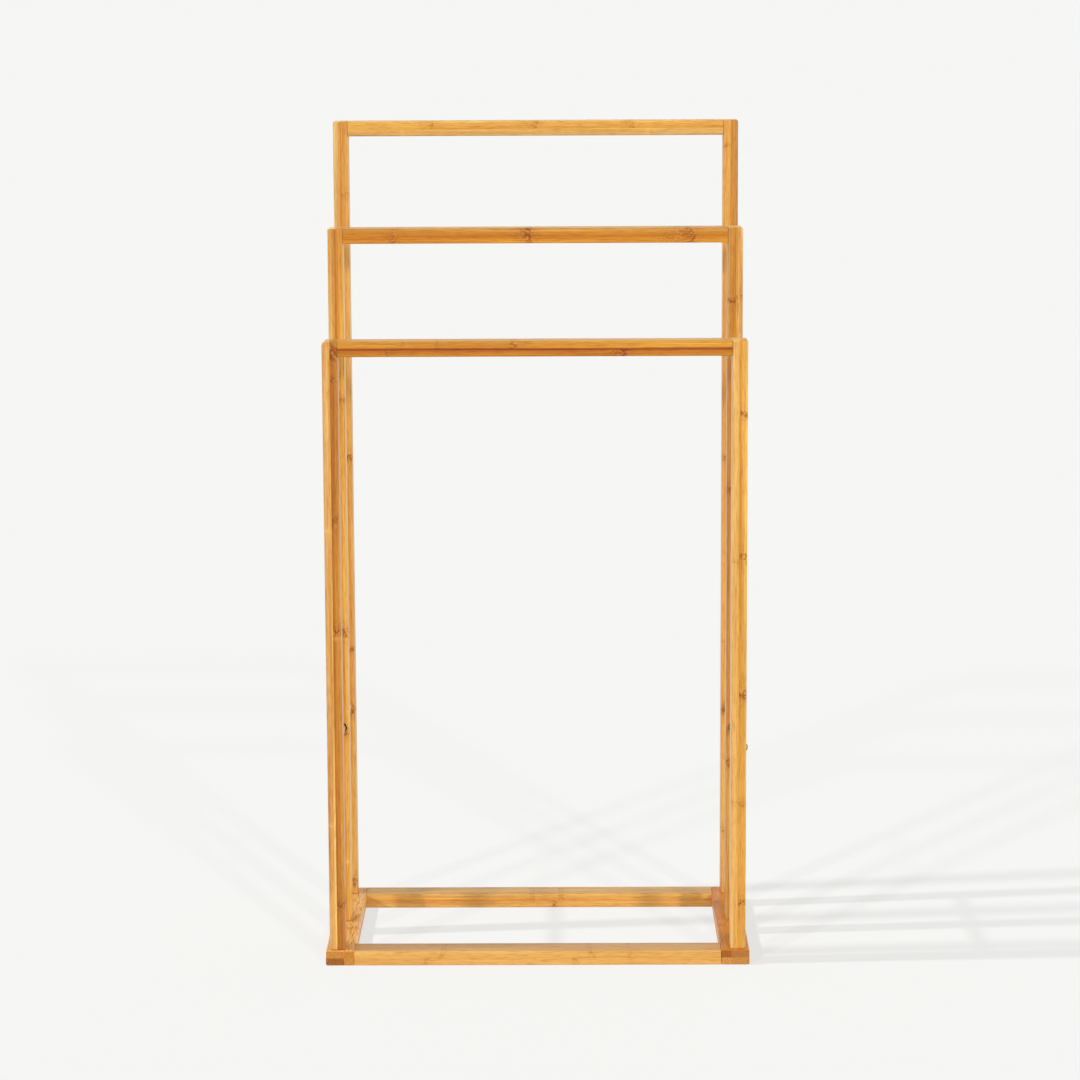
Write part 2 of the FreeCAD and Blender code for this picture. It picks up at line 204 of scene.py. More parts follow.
@dataclass(frozen=True)
class LaminatedBamboo:
    """Laminated bamboo, planed, sanded and wiped with a thin satin lacquer.

    Thin strips of culm are glued side by side. The eye sees straight fine fibres, a dark
    glue line between two strips of different honey tones, a brown band where a node of
    the culm was planed through, dots of cut fibre on end grain, and a soft sheen that
    turns pale on faces seen edge on.
    """

    run: Axis
    across: Axis
    strips: tuple[Strip, ...]
    glue: float = 0.25  # how dark the glue line shows, from 0 to 1
    glue_reach: float = 0.3  # half the glue line, drawn wider than the real one so that it shows, mm
    grain: float = 0.4  # how dark the pores show, from 0 to 1
    figure: float = 1.0  # contrast of fibres and slow tone
    shaded_bore: Vector | None = None  # axis of a bore along Y whose wall and rim get a near-black painted shade for the gap round the rod
    bore_shade_radius: float = 5.5 * MM

    FIBRES = Streaks(1.2, 130.0, 4.0, 0.35, 0.68)  # bundles, drawn twice as wide as real ones to show
    PORES = Streaks(0.9, 14.0, 1.0, 0.5, 0.66)
    TONE = Streaks(7.0, 190.0, 1.0, 0.35, 0.7)  # slow change of tone in one strip
    BLOTCHES = Streaks(2.1, 3.2, 2.0, 0.42, 0.58)  # patches inside a node band
    STRAW = Streaks(2.1, 3.2, 2.0, 0.38, 0.5)  # the pale ones among them
    FIBRE_SHARE = 0.7  # of the fibre tint where fibres are darkest
    TONE_SHARE = 0.6
    STRAW_SHARES = (0.35, 0.0)  # of the pale tint in a dark node, from the least noise to the most
    FAINT_SHARES = (0.2, 0.65)  # of the pale tint in a pale node
    BROWN_SHARES = (0.42, 1.4)  # of the brown tint in a dark node
    NUMBER_STEP = 7.3  # sets the noise of neighbouring strips apart
    BUNDLE = 1.15  # spacing of cut fibre bundles on end grain
    WAVE = 38.0  # slow sideways wander of the fibres
    WANDER = 1.1
    RAG = 4.5  # ragged outline of a node band
    RAG_REACH = 2.6
    CORE = 0.4  # share of a node band's half height that is full
    HALO_REACH = 4  # half height of the faint stain round a node, in half bands
    HALO = 0.3
    TAIL = 0.55  # share of the band that its tail starts with
    TAIL_START = -0.15  # where a tail begins on the near side of its node, as a share of its length
    SHEEN = 0.2  # weight of the lacquer's coat
    GLOSS = 0.2  # reflection of the wood under it
    NAP = 0.3  # sanded fibre ends that glow warm on faces seen edge on
    COAT_ROUGHNESS = 0.12
    NAP_ROUGHNESS = 0.25
    ROUGHNESS = (0.4, 0.55)  # of smooth and of fibrous wood
    ROUGH_NOISE = (0.3, 0.75)
    RELIEF = 0.3  # strength of the fibres' relief
    RELIEF_DEPTH = 0.08  # mm
    END_FACING = (0.7, 0.8)  # how square to the run a face is where end grain begins and is full
    DOT = (0.2, 0.42)  # radii of a cut bundle's core and rim, in spacings
    DOT_SHARE = 0.6

    FIBRE_TINT = "#DCC297"
    PORE_TINT = "#C29C60"
    KNOT_TINT = "#C49A2A"
    PALE_TINT = "#E6B65C"
    GLUE_TINT = "#D2AE46"
    # painted shade of the brace's bore, below
    BORE_SHADE_TINT = "#280400"
    BUNDLE_TINT = "#8F5C31"
    NAP_TINT = "#FFC27A"

    def material(self, name: str, low: Vector, high: Vector) -> bpy.types.Material:
        """Make the bamboo of one stick.

        Args:
            name: name of the stick.
            low: lowest corner of the stick.
            high: highest corner of the stick.

        Returns:
            The material, with its pattern placed in the rack's frame.
        """
        material = empty_material(f"laminated_bamboo_{name}")
        tree = material.node_tree
        coords = add(tree, "TexCoord")
        wander = add(
            tree, "TexNoise", {"Vector": coords["Object"], "Scale": 1 / (self.WAVE * MM), "Detail": 1.0}
        )
        centred = add(tree, "VectorMath", {0: wander["Color"], 1: (0.5, 0.5, 0.5)}, operation="SUBTRACT")
        shift = add(tree, "VectorMath", {0: centred[0], "Scale": self.WANDER * MM}, operation="SCALE")
        wavy = add(tree, "VectorMath", {0: coords["Object"], 1: shift[0]}, operation="ADD")
        axes = add(tree, "SeparateXYZ", {0: coords["Object"]})
        beside = next(axis for axis in Axis if axis not in (self.run, self.across))
        colour, number, dark, pale, end = self.lay_up(tree, axes, wavy[0], low, high, beside)

        # Fibres, pores and slow tone all follow the run of the stick.
        fibre = self.along(tree, wavy[0], number, self.FIBRES)
        pores = self.along(tree, wavy[0], number, self.PORES)
        tone = self.along(tree, wavy[0], number, self.TONE)
        for noise, streaks, most, tint in (
            (fibre, self.FIBRES, self.FIBRE_SHARE * self.figure, self.FIBRE_TINT),
            (tone, self.TONE, self.TONE_SHARE * self.figure, self.FIBRE_TINT),
            (pores, self.PORES, self.grain, self.PORE_TINT),
        ):
            share = self.shown(tree, noise, streaks, 0.0, most)
            colour = self.tinted(tree, colour, share, tint)

        # Node bands are broken up into straw and brown blotches.
        blotch = self.along(tree, wavy[0], number, self.BLOTCHES)
        for mask, streaks, shares, tint, kind in (
            (pale, self.BLOTCHES, self.FAINT_SHARES, self.PALE_TINT, "MIX"),
            (dark, self.STRAW, self.STRAW_SHARES, self.PALE_TINT, "MIX"),
            (dark, self.BLOTCHES, self.BROWN_SHARES, self.KNOT_TINT, "MULTIPLY"),
        ):
            broken = self.shown(tree, blotch, streaks, *shares)
            share = add(tree, "Math", {0: mask, 1: broken}, operation="MULTIPLY")
            colour = self.tinted(tree, colour, share[0], tint, kind)
        colour = self.glued(tree, axes, colour, low, high)
        colour = self.end_grained(tree, coords, colour, end)
        sheen = self.SHEEN
        # Painted shade: the wall and rim of the brace's bore are tinted near black for the shade in the gap
        # round the rod.
        if self.shaded_bore is not None:
            level = add(tree, "Mapping", {"Vector": coords["Object"], "Scale": (1.0, 0.0, 1.0)})
            centre = (self.shaded_bore.x, 0.0, self.shaded_bore.z)
            away = add(tree, "VectorMath", {0: level[0], 1: centre}, operation="DISTANCE")
            bore = add(tree, "Math", {0: away["Value"], 1: self.bore_shade_radius}, operation="LESS_THAN")
            colour = self.tinted(tree, colour, bore[0], self.BORE_SHADE_TINT)
            # No coat in the bore either, so that its painted shade stays dark.
            outside_bore = add(tree, "MapRange", {0: bore[0], 3: 1.0, 4: 0.0})[0]
            sheen = add(tree, "Math", {0: outside_bore, 1: self.SHEEN}, operation="MULTIPLY")[0]

        start, stop = self.ROUGH_NOISE
        least, most = self.ROUGHNESS
        rough = add(tree, "MapRange", {0: fibre, 1: start, 2: stop, 3: least, 4: most})
        relief = {"Strength": self.RELIEF, "Distance": self.RELIEF_DEPTH * MM, "Height": fibre}
        bump = add(tree, "Bump", relief)
        shader = add(
            tree,
            "BsdfPrincipled",
            {
                "Base Color": colour,
                "Roughness": rough[0],
                "IOR": 1.5,
                "Specular IOR Level": self.GLOSS,
                "Coat Weight": sheen,
                "Coat Roughness": self.COAT_ROUGHNESS,
                "Sheen Weight": self.NAP,
                "Sheen Roughness": self.NAP_ROUGHNESS,
                "Sheen Tint": linear(self.NAP_TINT),
                "Normal": bump[0],
            },
        )
        add(tree, "OutputMaterial", {"Surface": shader[0]})
        return material

    def lay_up(
        self, tree: Tree, axes: Sockets, wavy: Socket, low: Vector, high: Vector, beside: Axis
    ) -> tuple[Socket, ...]:
        """Colour, number and node masks of the strip at each point.

        Args:
            tree: node tree of the material.
            axes: X, Y and Z sockets of the point.
            wavy: socket of the point with the fibres' wander.
            low: lowest corner of the stick.
            high: highest corner of the stick.
            beside: the third axis of the stick.

        Returns:
            Sockets of the colour, the strip's number, the dark and the pale node mask and
            the end grain's colour.
        """
        rag = add(tree, "TexNoise", {"Vector": wavy, "Scale": 1 / (self.RAG * MM), "Detail": 2.0})
        ragged = add(
            tree,
            "Math",
            {0: rag[0], 1: self.RAG_REACH * MM, 2: -0.5 * self.RAG_REACH * MM},
            operation="MULTIPLY_ADD",
        )[0]
        wavy_axes = add(tree, "SeparateXYZ", {0: wavy})
        colour = number = dark = pale = end = None
        for index, strip in enumerate(self.strips):
            start, stop = (
                low[self.across.value] + share * (high[self.across.value] - low[self.across.value])
                for share in strip.across
            )
            place = add(tree, "MapRange", {0: axes[self.across.value], 1: start, 2: stop})
            shade = add(
                tree, "Mix", {0: place[0], 6: linear(strip.low), 7: linear(strip.high)}, data_type="RGBA"
            )[2]
            masks = [self.knot_mask(tree, wavy_axes, ragged, strip, start, sign) for sign in (1, -1)]
            sawn = linear(strip.end or strip.low)
            if index == 0:
                end = sawn
                colour, number = shade, add(tree, "Value")[0]
                dark, pale = masks
                continue
            edge = low[beside.value] + strip.beside * (high[beside.value] - low[beside.value])
            inside = 1.0
            for axis, level, share in (
                (self.across, start, strip.across[0]),
                (beside, edge, strip.beside),
            ):
                if share > 0:
                    past = add(tree, "Math", {0: axes[axis.value], 1: level}, operation="GREATER_THAN")
                    inside = add(tree, "Math", {0: past[0], 1: inside}, operation="MULTIPLY")[0]
            colour = add(tree, "Mix", {0: inside, 6: colour, 7: shade}, data_type="RGBA")[2]
            end = add(tree, "Mix", {0: inside, 6: end, 7: sawn}, data_type="RGBA")[2]
            number = add(tree, "Mix", {0: inside, 2: number, 3: index * self.NUMBER_STEP})[0]
            dark = add(tree, "Mix", {0: inside, 2: dark, 3: masks[0]})[0]
            pale = add(tree, "Mix", {0: inside, 2: pale, 3: masks[1]})[0]
        return colour, number, dark, pale, end

    def knot_mask(
        self, tree: Tree, axes: Sockets, ragged: Socket, strip: Strip, start: float, sign: int
    ) -> Socket:
        """Mask of a strip's dark or pale nodes.

        Args:
            tree: node tree of the material.
            axes: X, Y and Z sockets of the point.
            ragged: socket of a small uneven shift along the run.
            strip: the strip that has the nodes.
            start: where the strip begins across the layers, in metres.
            sign: 1 for the dark nodes and -1 for the pale ones.

        Returns:
            Socket of a value that is 0 away from every node.
        """
        mask = add(tree, "Value")[0]
        for knot in strip.knots:
            if knot.depth * sign <= 0:
                continue
            offset = add(
                tree,
                "Math",
                {0: axes[self.across.value], 1: -knot.lean, 2: knot.lean * start - knot.at * MM},
                operation="MULTIPLY_ADD",
            )
            away = add(tree, "Math", {0: axes[self.run.value], 1: offset[0]}, operation="ADD")
            away = add(tree, "Math", {0: away[0], 1: ragged}, operation="ADD")[0]
            near = add(tree, "Math", {0: away}, operation="ABSOLUTE")[0]
            reaches = [
                (near, self.CORE * knot.spread * MM, knot.spread * MM, 1.0),
                (near, 0.0, self.HALO_REACH * knot.spread * MM, self.HALO),
            ]
            if knot.tail:
                beside = add(tree, "Math", {0: away, 1: 1 / (knot.tail * MM)}, operation="MULTIPLY")[0]
                # The tail begins a little before its node, so that it starts softly.
                bent = add(tree, "MapRange", {0: beside, 1: self.TAIL_START, 2: 0.0, 3: 1.0, 4: 0.0})[0]
                behind = add(tree, "Math", {0: beside, 1: bent}, operation="MAXIMUM")[0]
                reaches.append((behind, 0.0, 1.0, self.TAIL))
            for reach, full, none, share in reaches:
                band = add(
                    tree,
                    "MapRange",
                    {0: reach, 1: full, 2: none, 3: share * abs(knot.depth), 4: 0.0},
                    interpolation_type="SMOOTHSTEP",
                )
                mask = add(tree, "Math", {0: mask, 1: band[0]}, operation="MAXIMUM")[0]
        return mask

    def along(self, tree: Tree, point: Socket, number: Socket, streaks: Streaks) -> Socket:
        """Noise drawn out along the run of the stick, different in each strip.

        Args:
            tree: node tree of the material.
            point: socket of the point.
            number: socket of the strip's number.
            streaks: size of the noise.

        Returns:
            Socket of the noise.
        """
        scale = [1 / ((streaks.length if axis is self.run else streaks.width) * MM) for axis in Axis]
        drawn = add(tree, "Mapping", {"Vector": point, "Scale": scale})[0]
        links = {"Vector": drawn, "W": number, "Scale": 1.0, "Detail": streaks.octaves, "Roughness": 0.6}
        return add(tree, "TexNoise", links, noise_dimensions="4D")[0]

    def shown(self, tree: Tree, noise: Socket, streaks: Streaks, least: float, most: float) -> Socket:
        """Share that grows from least to most over the part of a noise that shows."""
        links = {0: noise, 1: streaks.start, 2: streaks.stop, 3: least, 4: most}
        return add(tree, "MapRange", links)[0]

    def tinted(self, tree: Tree, colour: Socket, share: Socket, tint: str, kind: str = "MULTIPLY") -> Socket:
        """Colour with a tint mixed in by a share."""
        return add(tree, "Mix", {0: share, 6: colour, 7: linear(tint)}, data_type="RGBA", blend_type=kind)[2]

    def glued(self, tree: Tree, axes: Sockets, colour: Socket, low: Vector, high: Vector) -> Socket:
        """Colour with a thin dark line wherever two layers meet.

        Args:
            tree: node tree of the material.
            axes: X, Y and Z sockets of the point.
            colour: socket of the colour so far.
            low: lowest corner of the stick.
            high: highest corner of the stick.

        Returns:
            Socket of the new colour.
        """
        seams = sorted({strip.across[0] for strip in self.strips} - {0.0})
        for seam in seams:
            place = low[self.across.value] + seam * (high[self.across.value] - low[self.across.value])
            line = add(
                tree,
                "Math",
                {0: axes[self.across.value], 1: place, 2: self.glue_reach * MM},
                operation="COMPARE",
            )
            share = add(tree, "Math", {0: line[0], 1: self.glue}, operation="MULTIPLY")
            colour = self.tinted(tree, colour, share[0], self.GLUE_TINT)
        return colour

    def end_grained(self, tree: Tree, coords: Sockets, colour: Socket, end: Socket) -> Socket:
        """Colour with dots of cut fibre bundles on faces square to the run.

        Args:
            tree: node tree of the material.
            coords: sockets of the Texture Coordinate node.
            colour: socket of the colour so far.
            end: colour of the end grain between the dots.

        Returns:
            Socket of the new colour.
        """
        facing = add(tree, "VectorMath", {0: coords["Normal"], 1: self.run.way}, operation="DOT_PRODUCT")
        square = add(tree, "Math", {0: facing["Value"]}, operation="ABSOLUTE")
        mask = add(tree, "MapRange", {0: square[0], 1: self.END_FACING[0], 2: self.END_FACING[1]})
        flat = [0.0 if axis is self.run else 1 / (self.BUNDLE * MM) for axis in Axis]
        spread = add(tree, "Mapping", {"Vector": coords["Object"], "Scale": flat})
        cells = add(tree, "TexVoronoi", {"Vector": spread[0], "Scale": 1.0})
        core, rim = self.DOT
        links = {0: cells["Distance"], 1: core, 2: rim, 3: self.DOT_SHARE, 4: 0.0}
        dots = add(tree, "MapRange", links)
        sawn = self.tinted(tree, end, dots[0], self.BUNDLE_TINT)
        return add(tree, "Mix", {0: mask[0], 6: colour, 7: sawn}, data_type="RGBA")[2]


@dataclass(frozen=True)
class TurnedWood:
    """Round stock turned on a lathe: a bamboo brace or a fluted beech dowel.

    The eye sees fine straight fibre along the stock and faint rings from turning.
    """

    name: str
    run: Axis
    shade: str
    fibre_shade: str
    ring_pitch: float  # spacing of the turning marks, mm

    FIBRE_WIDTH = 0.7
    FIBRE_LENGTH = 30.0
    FIBRE_NOISE = (0.35, 0.7)  # part of the noise that shows
    ROUGH_NOISE = (0.3, 0.75)
    ROUGHNESS = (0.45, 0.62)
    RING_RISE = 0.15  # height of a turning mark against a fibre's
    RELIEF = 0.35
    RELIEF_DEPTH = 0.08  # mm
    WAX = 0.15  # weight of the thin coat
    WAX_ROUGHNESS = 0.35

    def material(self) -> bpy.types.Material:
        """Make the material.

        Returns:
            The material.
        """
        material = empty_material(self.name)
        tree = material.node_tree
        coords = add(tree, "TexCoord")
        scale = [1 / ((self.FIBRE_LENGTH if axis is self.run else self.FIBRE_WIDTH) * MM) for axis in Axis]
        drawn = add(tree, "Mapping", {"Vector": coords["Object"], "Scale": scale})
        fibre = add(tree, "TexNoise", {"Vector": drawn[0], "Scale": 1.0, "Detail": 4.0, "Roughness": 0.6})
        share = add(tree, "MapRange", {0: fibre[0], 1: self.FIBRE_NOISE[0], 2: self.FIBRE_NOISE[1]})
        colour = add(
            tree, "Mix", {0: share[0], 6: linear(self.shade), 7: linear(self.fibre_shade)}, data_type="RGBA"
        )
        axes = add(tree, "SeparateXYZ", {0: coords["Object"]})
        turns = add(
            tree,
            "Math",
            {0: axes[self.run.value], 1: 2 * math.pi / (self.ring_pitch * MM)},
            operation="MULTIPLY",
        )
        rings = add(tree, "Math", {0: turns[0]}, operation="SINE")
        height = add(tree, "Math", {0: rings[0], 1: self.RING_RISE, 2: fibre[0]}, operation="MULTIPLY_ADD")
        relief = {"Strength": self.RELIEF, "Distance": self.RELIEF_DEPTH * MM, "Height": height[0]}
        bump = add(tree, "Bump", relief)
        start, stop = self.ROUGH_NOISE
        smooth, dull = self.ROUGHNESS
        rough = add(tree, "MapRange", {0: fibre[0], 1: start, 2: stop, 3: smooth, 4: dull})
        shader = add(
            tree,
            "BsdfPrincipled",
            {
                "Base Color": colour[2],
                "Roughness": rough[0],
                "IOR": 1.5,
                "Coat Weight": self.WAX,
                "Coat Roughness": self.WAX_ROUGHNESS,
                "Normal": bump[0],
            },
        )
        add(tree, "OutputMaterial", {"Surface": shader[0]})
        return material


@dataclass(frozen=True)
class PlatedSteel:
    """Cold-formed steel with a thin plating: antique bronze or zinc.

    The eye sees a dull metal shine that is mottled where the plating is uneven.
    """

    name: str
    shade: str
    worn_shade: str
    roughness: tuple[float, float]

    MOTTLE = 1.6  # patches of the plating, mm
    WORN_NOISE = (0.4, 0.65)  # part of the noise where the plating wears through
    ROUGH_NOISE = (0.3, 0.7)
    RELIEF = 0.2
    RELIEF_DEPTH = 0.03  # mm

    def material(self) -> bpy.types.Material:
        """Make the material.

        Returns:
            The material.
        """
        material = empty_material(self.name)
        tree = material.node_tree
        coords = add(tree, "TexCoord")
        mottle = add(
            tree, "TexNoise", {"Vector": coords["Object"], "Scale": 1 / (self.MOTTLE * MM), "Detail": 4.0}
        )
        share = add(tree, "MapRange", {0: mottle[0], 1: self.WORN_NOISE[0], 2: self.WORN_NOISE[1]})
        colour = add(
            tree, "Mix", {0: share[0], 6: linear(self.shade), 7: linear(self.worn_shade)}, data_type="RGBA"
        )
        start, stop = self.ROUGH_NOISE
        smooth, dull = self.roughness
        rough = add(tree, "MapRange", {0: mottle[0], 1: start, 2: stop, 3: smooth, 4: dull})
        relief = {"Strength": self.RELIEF, "Distance": self.RELIEF_DEPTH * MM, "Height": mottle[0]}
        bump = add(tree, "Bump", relief)
        shader = add(
            tree,
            "BsdfPrincipled",
            {
                "Base Color": colour[2],
                "Metallic": 1.0,
                "Roughness": rough[0],
                "Normal": bump[0],
            },
        )
        add(tree, "OutputMaterial", {"Surface": shader[0]})
        return material


# Strips of each stick, from the lower to the higher coordinate across the layers.
STRIPS: dict[str, tuple[Strip, ...]] = {
    "front_upright_left": two_layers(
        Strip("#CA9D66", "#E8BE6F", (Knot(432, -0.5, 3.4), Knot(141, -0.5, 3.1))),
        Strip("#AC6B07", "#C68F3C", (
            Knot(604, 0.7, 10), Knot(579, 0.5, 3.9), Knot(440, 0.45, 7.8, 0.4), Knot(333, 0.85, 4.7),
            Knot(326, -0.5, 3.1), Knot(60, 0.7, 5),
        )),
    ),
    "front_upright_right": two_layers(
        Strip("#DEB672", "#D6A54C", (Knot(400, 0.3, 1.6), Knot(163, 0.3, 1.4))),
        Strip("#CE932D", "#DFB661", (
            Knot(545, 0.9, 3.7, -0.25), Knot(405, 0.8, 5, 0.1), Knot(270, 1, 6.5), Knot(161, 0.7, 4),
            Knot(62, 0.75, 5.3),
        )),
    ),
    "middle_upright_left": two_layers(
        Strip("#DCBA72", "#BE7D24", (
            Knot(541, 0.8, 4), Knot(313, 0.9, 5.6), Knot(205, 0.5, 3.9), Knot(77, -0.5, 2.5),
        )),
        Strip("#C48223", "#E2B45A", (
            Knot(545, 0.6, 4.7), Knot(312, 1, 6.5), Knot(208, 0.6, 4.7), Knot(77, -0.7, 2.5),
        )),
    ),
    "middle_upright_right": two_layers(
        # Painted shade: the deep band at 178 on the low strip is the dark gap beside the next post, drawn as
        # a node.
        Strip("#CA9F5E", "#CF972B", (Knot(643, 0.7, 4), Knot(455, 0.6, 4.7), Knot(178, 1, 6))),
        Strip("#D5A54E", "#E3BB7E", (Knot(646, 0.5, 3.4), Knot(420, 0.6, 4.7), Knot(160, 0.5, 3.1))),
    ),
    "rear_upright_left": two_layers(
        Strip("#D7BC80", "#C48532", (Knot(640, 0.4, 3.9), Knot(380, 0.5, 3.9))),
        Strip("#C88D34", "#D8AA5D", (
            Knot(742, 0.45, 3.1), Knot(474, 0.9, 4.7), Knot(272, 0.6, 3.7, 0.4), Knot(211, 0.8, 4, -0.2),
            Knot(27, 0.7, 7.8),
        )),
    ),
    "rear_upright_right": two_layers(
        Strip("#D59F56", "#D9AB54", (
            Knot(790, 0.4, 3.1), Knot(472, 0.55, 4), Knot(282, 0.5, 2.2), Knot(208, 0.75, 5.3),
            Knot(83, 0.5, 4.7),
        )),
        Strip("#CC8A20", "#B08A58", (Knot(566, 0.5, 4), Knot(335, 0.6, 4.7), Knot(120, 0.5, 4))),
    ),
    "front_bar": two_layers(
        Strip("#C48A22", "#A95903", (Knot(85, 0.95, 4.3, 0.3, -28), Knot(-142, 0.35, 3.1))),
        Strip("#D99E2F", "#D6A543", (
            Knot(-22, 0.55, 5, 0.2, -10), Knot(-127, 0.25, 3.1), Knot(-94, 0.3, 2.8),
        )),
    ),
    "middle_bar": two_layers(
        Strip("#DA9F37", "#BF7803", (
            Knot(-140, 0.6, 3.7, 0.15, -14), Knot(-6, 0.7, 5.3, -0.2, -22), Knot(153, 0.75, 5, 0.3, -60),
        )),
        Strip("#C68403", "#C89A4F", (
            Knot(-138, 0.45, 2.8, 0, -10), Knot(-8, 0.85, 4.7, 0.2, -20), Knot(152, 0.7, 4.7, -0.2, -40),
        )),
    ),
    "rear_bar": two_layers(
        Strip("#C4A067", "#D8A84F", (Knot(-134, -0.5, 2.8), Knot(-6, -0.3, 3.4), Knot(113, -0.45, 3.1))),
        Strip("#D5A043", "#E1B965", (
            Knot(-104, 0.5, 3.4, -0.2, -24), Knot(-1, 0.5, 3.7, 0.3, -26), Knot(98, 0.5, 3.4, -0.5, -14),
        )),
    ),
    "base_front_rail": two_layers(
        Strip("#D5A359", "#D19E50", (Knot(-110, 0.25, 4, 0.2), Knot(37, 0.3, 4.5, -0.2))),
        Strip("#D3A04E", "#D2A55E", (Knot(-95, 0.25, 4, 0.4), Knot(55, 0.25, 4.5, -0.6), Knot(90, 0.2, 3))),
    ),
    "base_rear_rail": two_layers(
        Strip("#D8A65B", "#D29E50", (Knot(16, 0.7, 3.5), Knot(-120, 0.2, 3.1))),
        Strip("#D0933C", "#DCB366", (Knot(-7, 0.25, 4), Knot(23, 0.3, 4.5))),
    ),
    "base_side_rail_left": (
        Strip("#B27038", "#B27038", (), (0, 0.5), 0, "#8F5212"),
        Strip("#F4BE6A", "#F4BE6A", (Knot(-38, 0.65, 5), Knot(70, 0.45, 3)), (0.5, 1), 0, "#B5772E"),
        Strip("#C98D4B", "#C98D4B", (), (0, 0.5), 0.64, "#B37830"),
        Strip("#F4BE67", "#F4BE67", (Knot(-38, 0.65, 5.5),), (0.5, 1), 0.64, "#B07227"),
    ),
    "base_side_rail_right": (
        Strip("#C1884B", "#C1884B", (), (0, 0.5), 0, "#BB7F39"),
        Strip("#DC9028", "#DC9028", (Knot(-30, 0.5, 4.7), Knot(62, 0.5, 4.7)), (0.5, 1), 0, "#905003"),
        Strip("#C1884B", "#C1884B", (), (0, 0.5), 0.36, "#B27830"),
        Strip("#E09528", "#E09528", (Knot(-72, 0.5, 4.7),), (0.5, 1), 0.36, "#A0642B"),
    ),
}

# What sets a stick's wood apart from the others.
CHARACTER: dict[str, dict[str, float]] = {
    "front_upright_left": {"figure": 1.4},
    "middle_upright_left": {"figure": 1.3},
    "middle_upright_right": {"figure": 1.5},
    "front_bar": {"figure": 1.4, "glue": 1.0, "glue_reach": 1.1},
    "middle_bar": {"figure": 1.3, "glue": 0.1},
    "base_front_rail": {"figure": 0.6, "glue": 0.1},
    "base_side_rail_left": {"figure": 0.6, "grain": 1.0},
    "base_side_rail_right": {"grain": 0.6},
}
# Top outer corners that were rounded more than the others, in millimetres.
SOFT_CORNERS = {"front_upright_left": 4.0, "middle_upright_right": 3.0}
TOP_CORNER = 1.8  # of the others, in millimetres
# Post whose brace bore gets a painted shade.
BORE_SHADED_POST = "middle_upright_left"

BAMBOO_ROD = TurnedWood("turned_bamboo_brace", Axis.Y, "#D9A868", "#B9823F", ring_pitch=1.9)
DOWELS = {
    axis: TurnedWood(f"turned_beech_dowel_{axis.name.lower()}", axis, "#D8B58C", "#BE9468", ring_pitch=1.2)
    for axis in (Axis.X, Axis.Z)
}
BRONZED_STEEL = PlatedSteel("bronze_plated_steel", "#8A6242", "#BE8A60", (0.42, 0.6))
ZINC_STEEL = PlatedSteel("zinc_plated_steel", "#A9ABA8", "#C3C2B8", (0.25, 0.45))

# ---------------------------------------------------------------- modelling helpers


def clear_selection() -> None:
    """Deselect every object."""
    bpy.ops.object.select_all(action="DESELECT")


def make_active(piece: Piece) -> None:
    """Select one object alone and make it the active one.

    Args:
        piece: the object.
    """
    clear_selection()
    piece.select_set(True)
    bpy.context.view_layer.objects.active = piece


def apply_place(piece: Piece) -> None:
    """Move a piece's place, turn and size into its mesh."""
    make_active(piece)
    bpy.ops.object.transform_apply(location=True, rotation=True, scale=True)


def select_edges(piece: Piece, wanted: EdgeTest) -> int:
    """Select, in edit mode, only the edges that a test wants.

    Args:
        piece: object that is in edit mode.
        wanted: test that takes the two ends of an edge.

    Returns:
        How many edges are selected.
    """
    bpy.ops.mesh.select_mode(type="EDGE")
    bpy.ops.mesh.select_all(action="DESELECT")
    shape = bmesh.from_edit_mesh(piece.data)
    chosen = [edge for edge in shape.edges if wanted(edge.verts[0].co, edge.verts[1].co)]
    for edge in chosen:
        edge.select_set(True)
    bmesh.update_edit_mesh(piece.data)
    return len(chosen)


def bevel_edges(piece: Piece, wanted: EdgeTest, width: float, segments: int) -> None:
    """Round the edges of a piece that a test wants.

    Args:
        piece: object to change.
        wanted: test that takes the two ends of an edge.
        width: radius of the rounding, in metres.
        segments: faces over the rounding.
    """
    make_active(piece)
    bpy.ops.object.mode_set(mode="EDIT")
    if select_edges(piece, wanted):
        bpy.ops.mesh.bevel(offset=width, segments=segments, affect="EDGES", clamp_overlap=False)
    bpy.ops.object.mode_set(mode="OBJECT")


def drill(piece: Piece, tool: Piece) -> None:
    """Cut a tool's shape out of a piece and throw the tool away.

    Args:
        piece: object to cut.
        tool: closed shape that is removed from it.
    """
    make_active(piece)
    cut = piece.modifiers.new("drill", "BOOLEAN")
    cut.operation = "DIFFERENCE"
    cut.solver = "EXACT"
    cut.object = tool
    bpy.ops.object.modifier_apply(modifier=cut.name)
    bpy.data.objects.remove(tool, do_unlink=True)


class Bore(NamedTuple):
    """Round hole: a point on the drilled face, the direction into the piece, radius and depth."""

    start: Vector
    way: Vector
    radius: float
    depth: float


def drill_bit(
    start: Vector, way: Vector, radius: float, depth: float, end_radius: float | None = None
) -> Piece:
    """Round or tapered tool that starts at a point and reaches into a piece.

    Args:
        start: point on the face that is drilled.
        way: unit direction into the piece.
        radius: radius at the face, in metres.
        depth: depth of the hole.
        end_radius: radius at the bottom, or None for a straight hole.

    Returns:
        The tool, a closed shape.
    """
    clear_selection()
    bpy.ops.mesh.primitive_cone_add(
        vertices=ROUND,
        radius1=radius,
        radius2=radius if end_radius is None else end_radius,
        depth=depth,
        location=start + way * depth / 2,
        rotation=way.to_track_quat("Z", "Y").to_euler(),
    )
    tool = bpy.context.object
    apply_place(tool)
    return tool


def finish_mesh(piece: Piece, angle: float = 35.0) -> None:
    """Smooth a finished mesh by angle, with flat faces kept flat.

    Args:
        piece: object to finish.
        angle: edges sharper than this, in degrees, stay sharp.
    """
    make_active(piece)
    bpy.ops.object.shade_smooth_by_angle(angle=math.radians(angle))
    flat = piece.modifiers.new("flat_faces", "WEIGHTED_NORMAL")
    flat.keep_sharp = True
    bpy.ops.object.modifier_apply(modifier=flat.name)


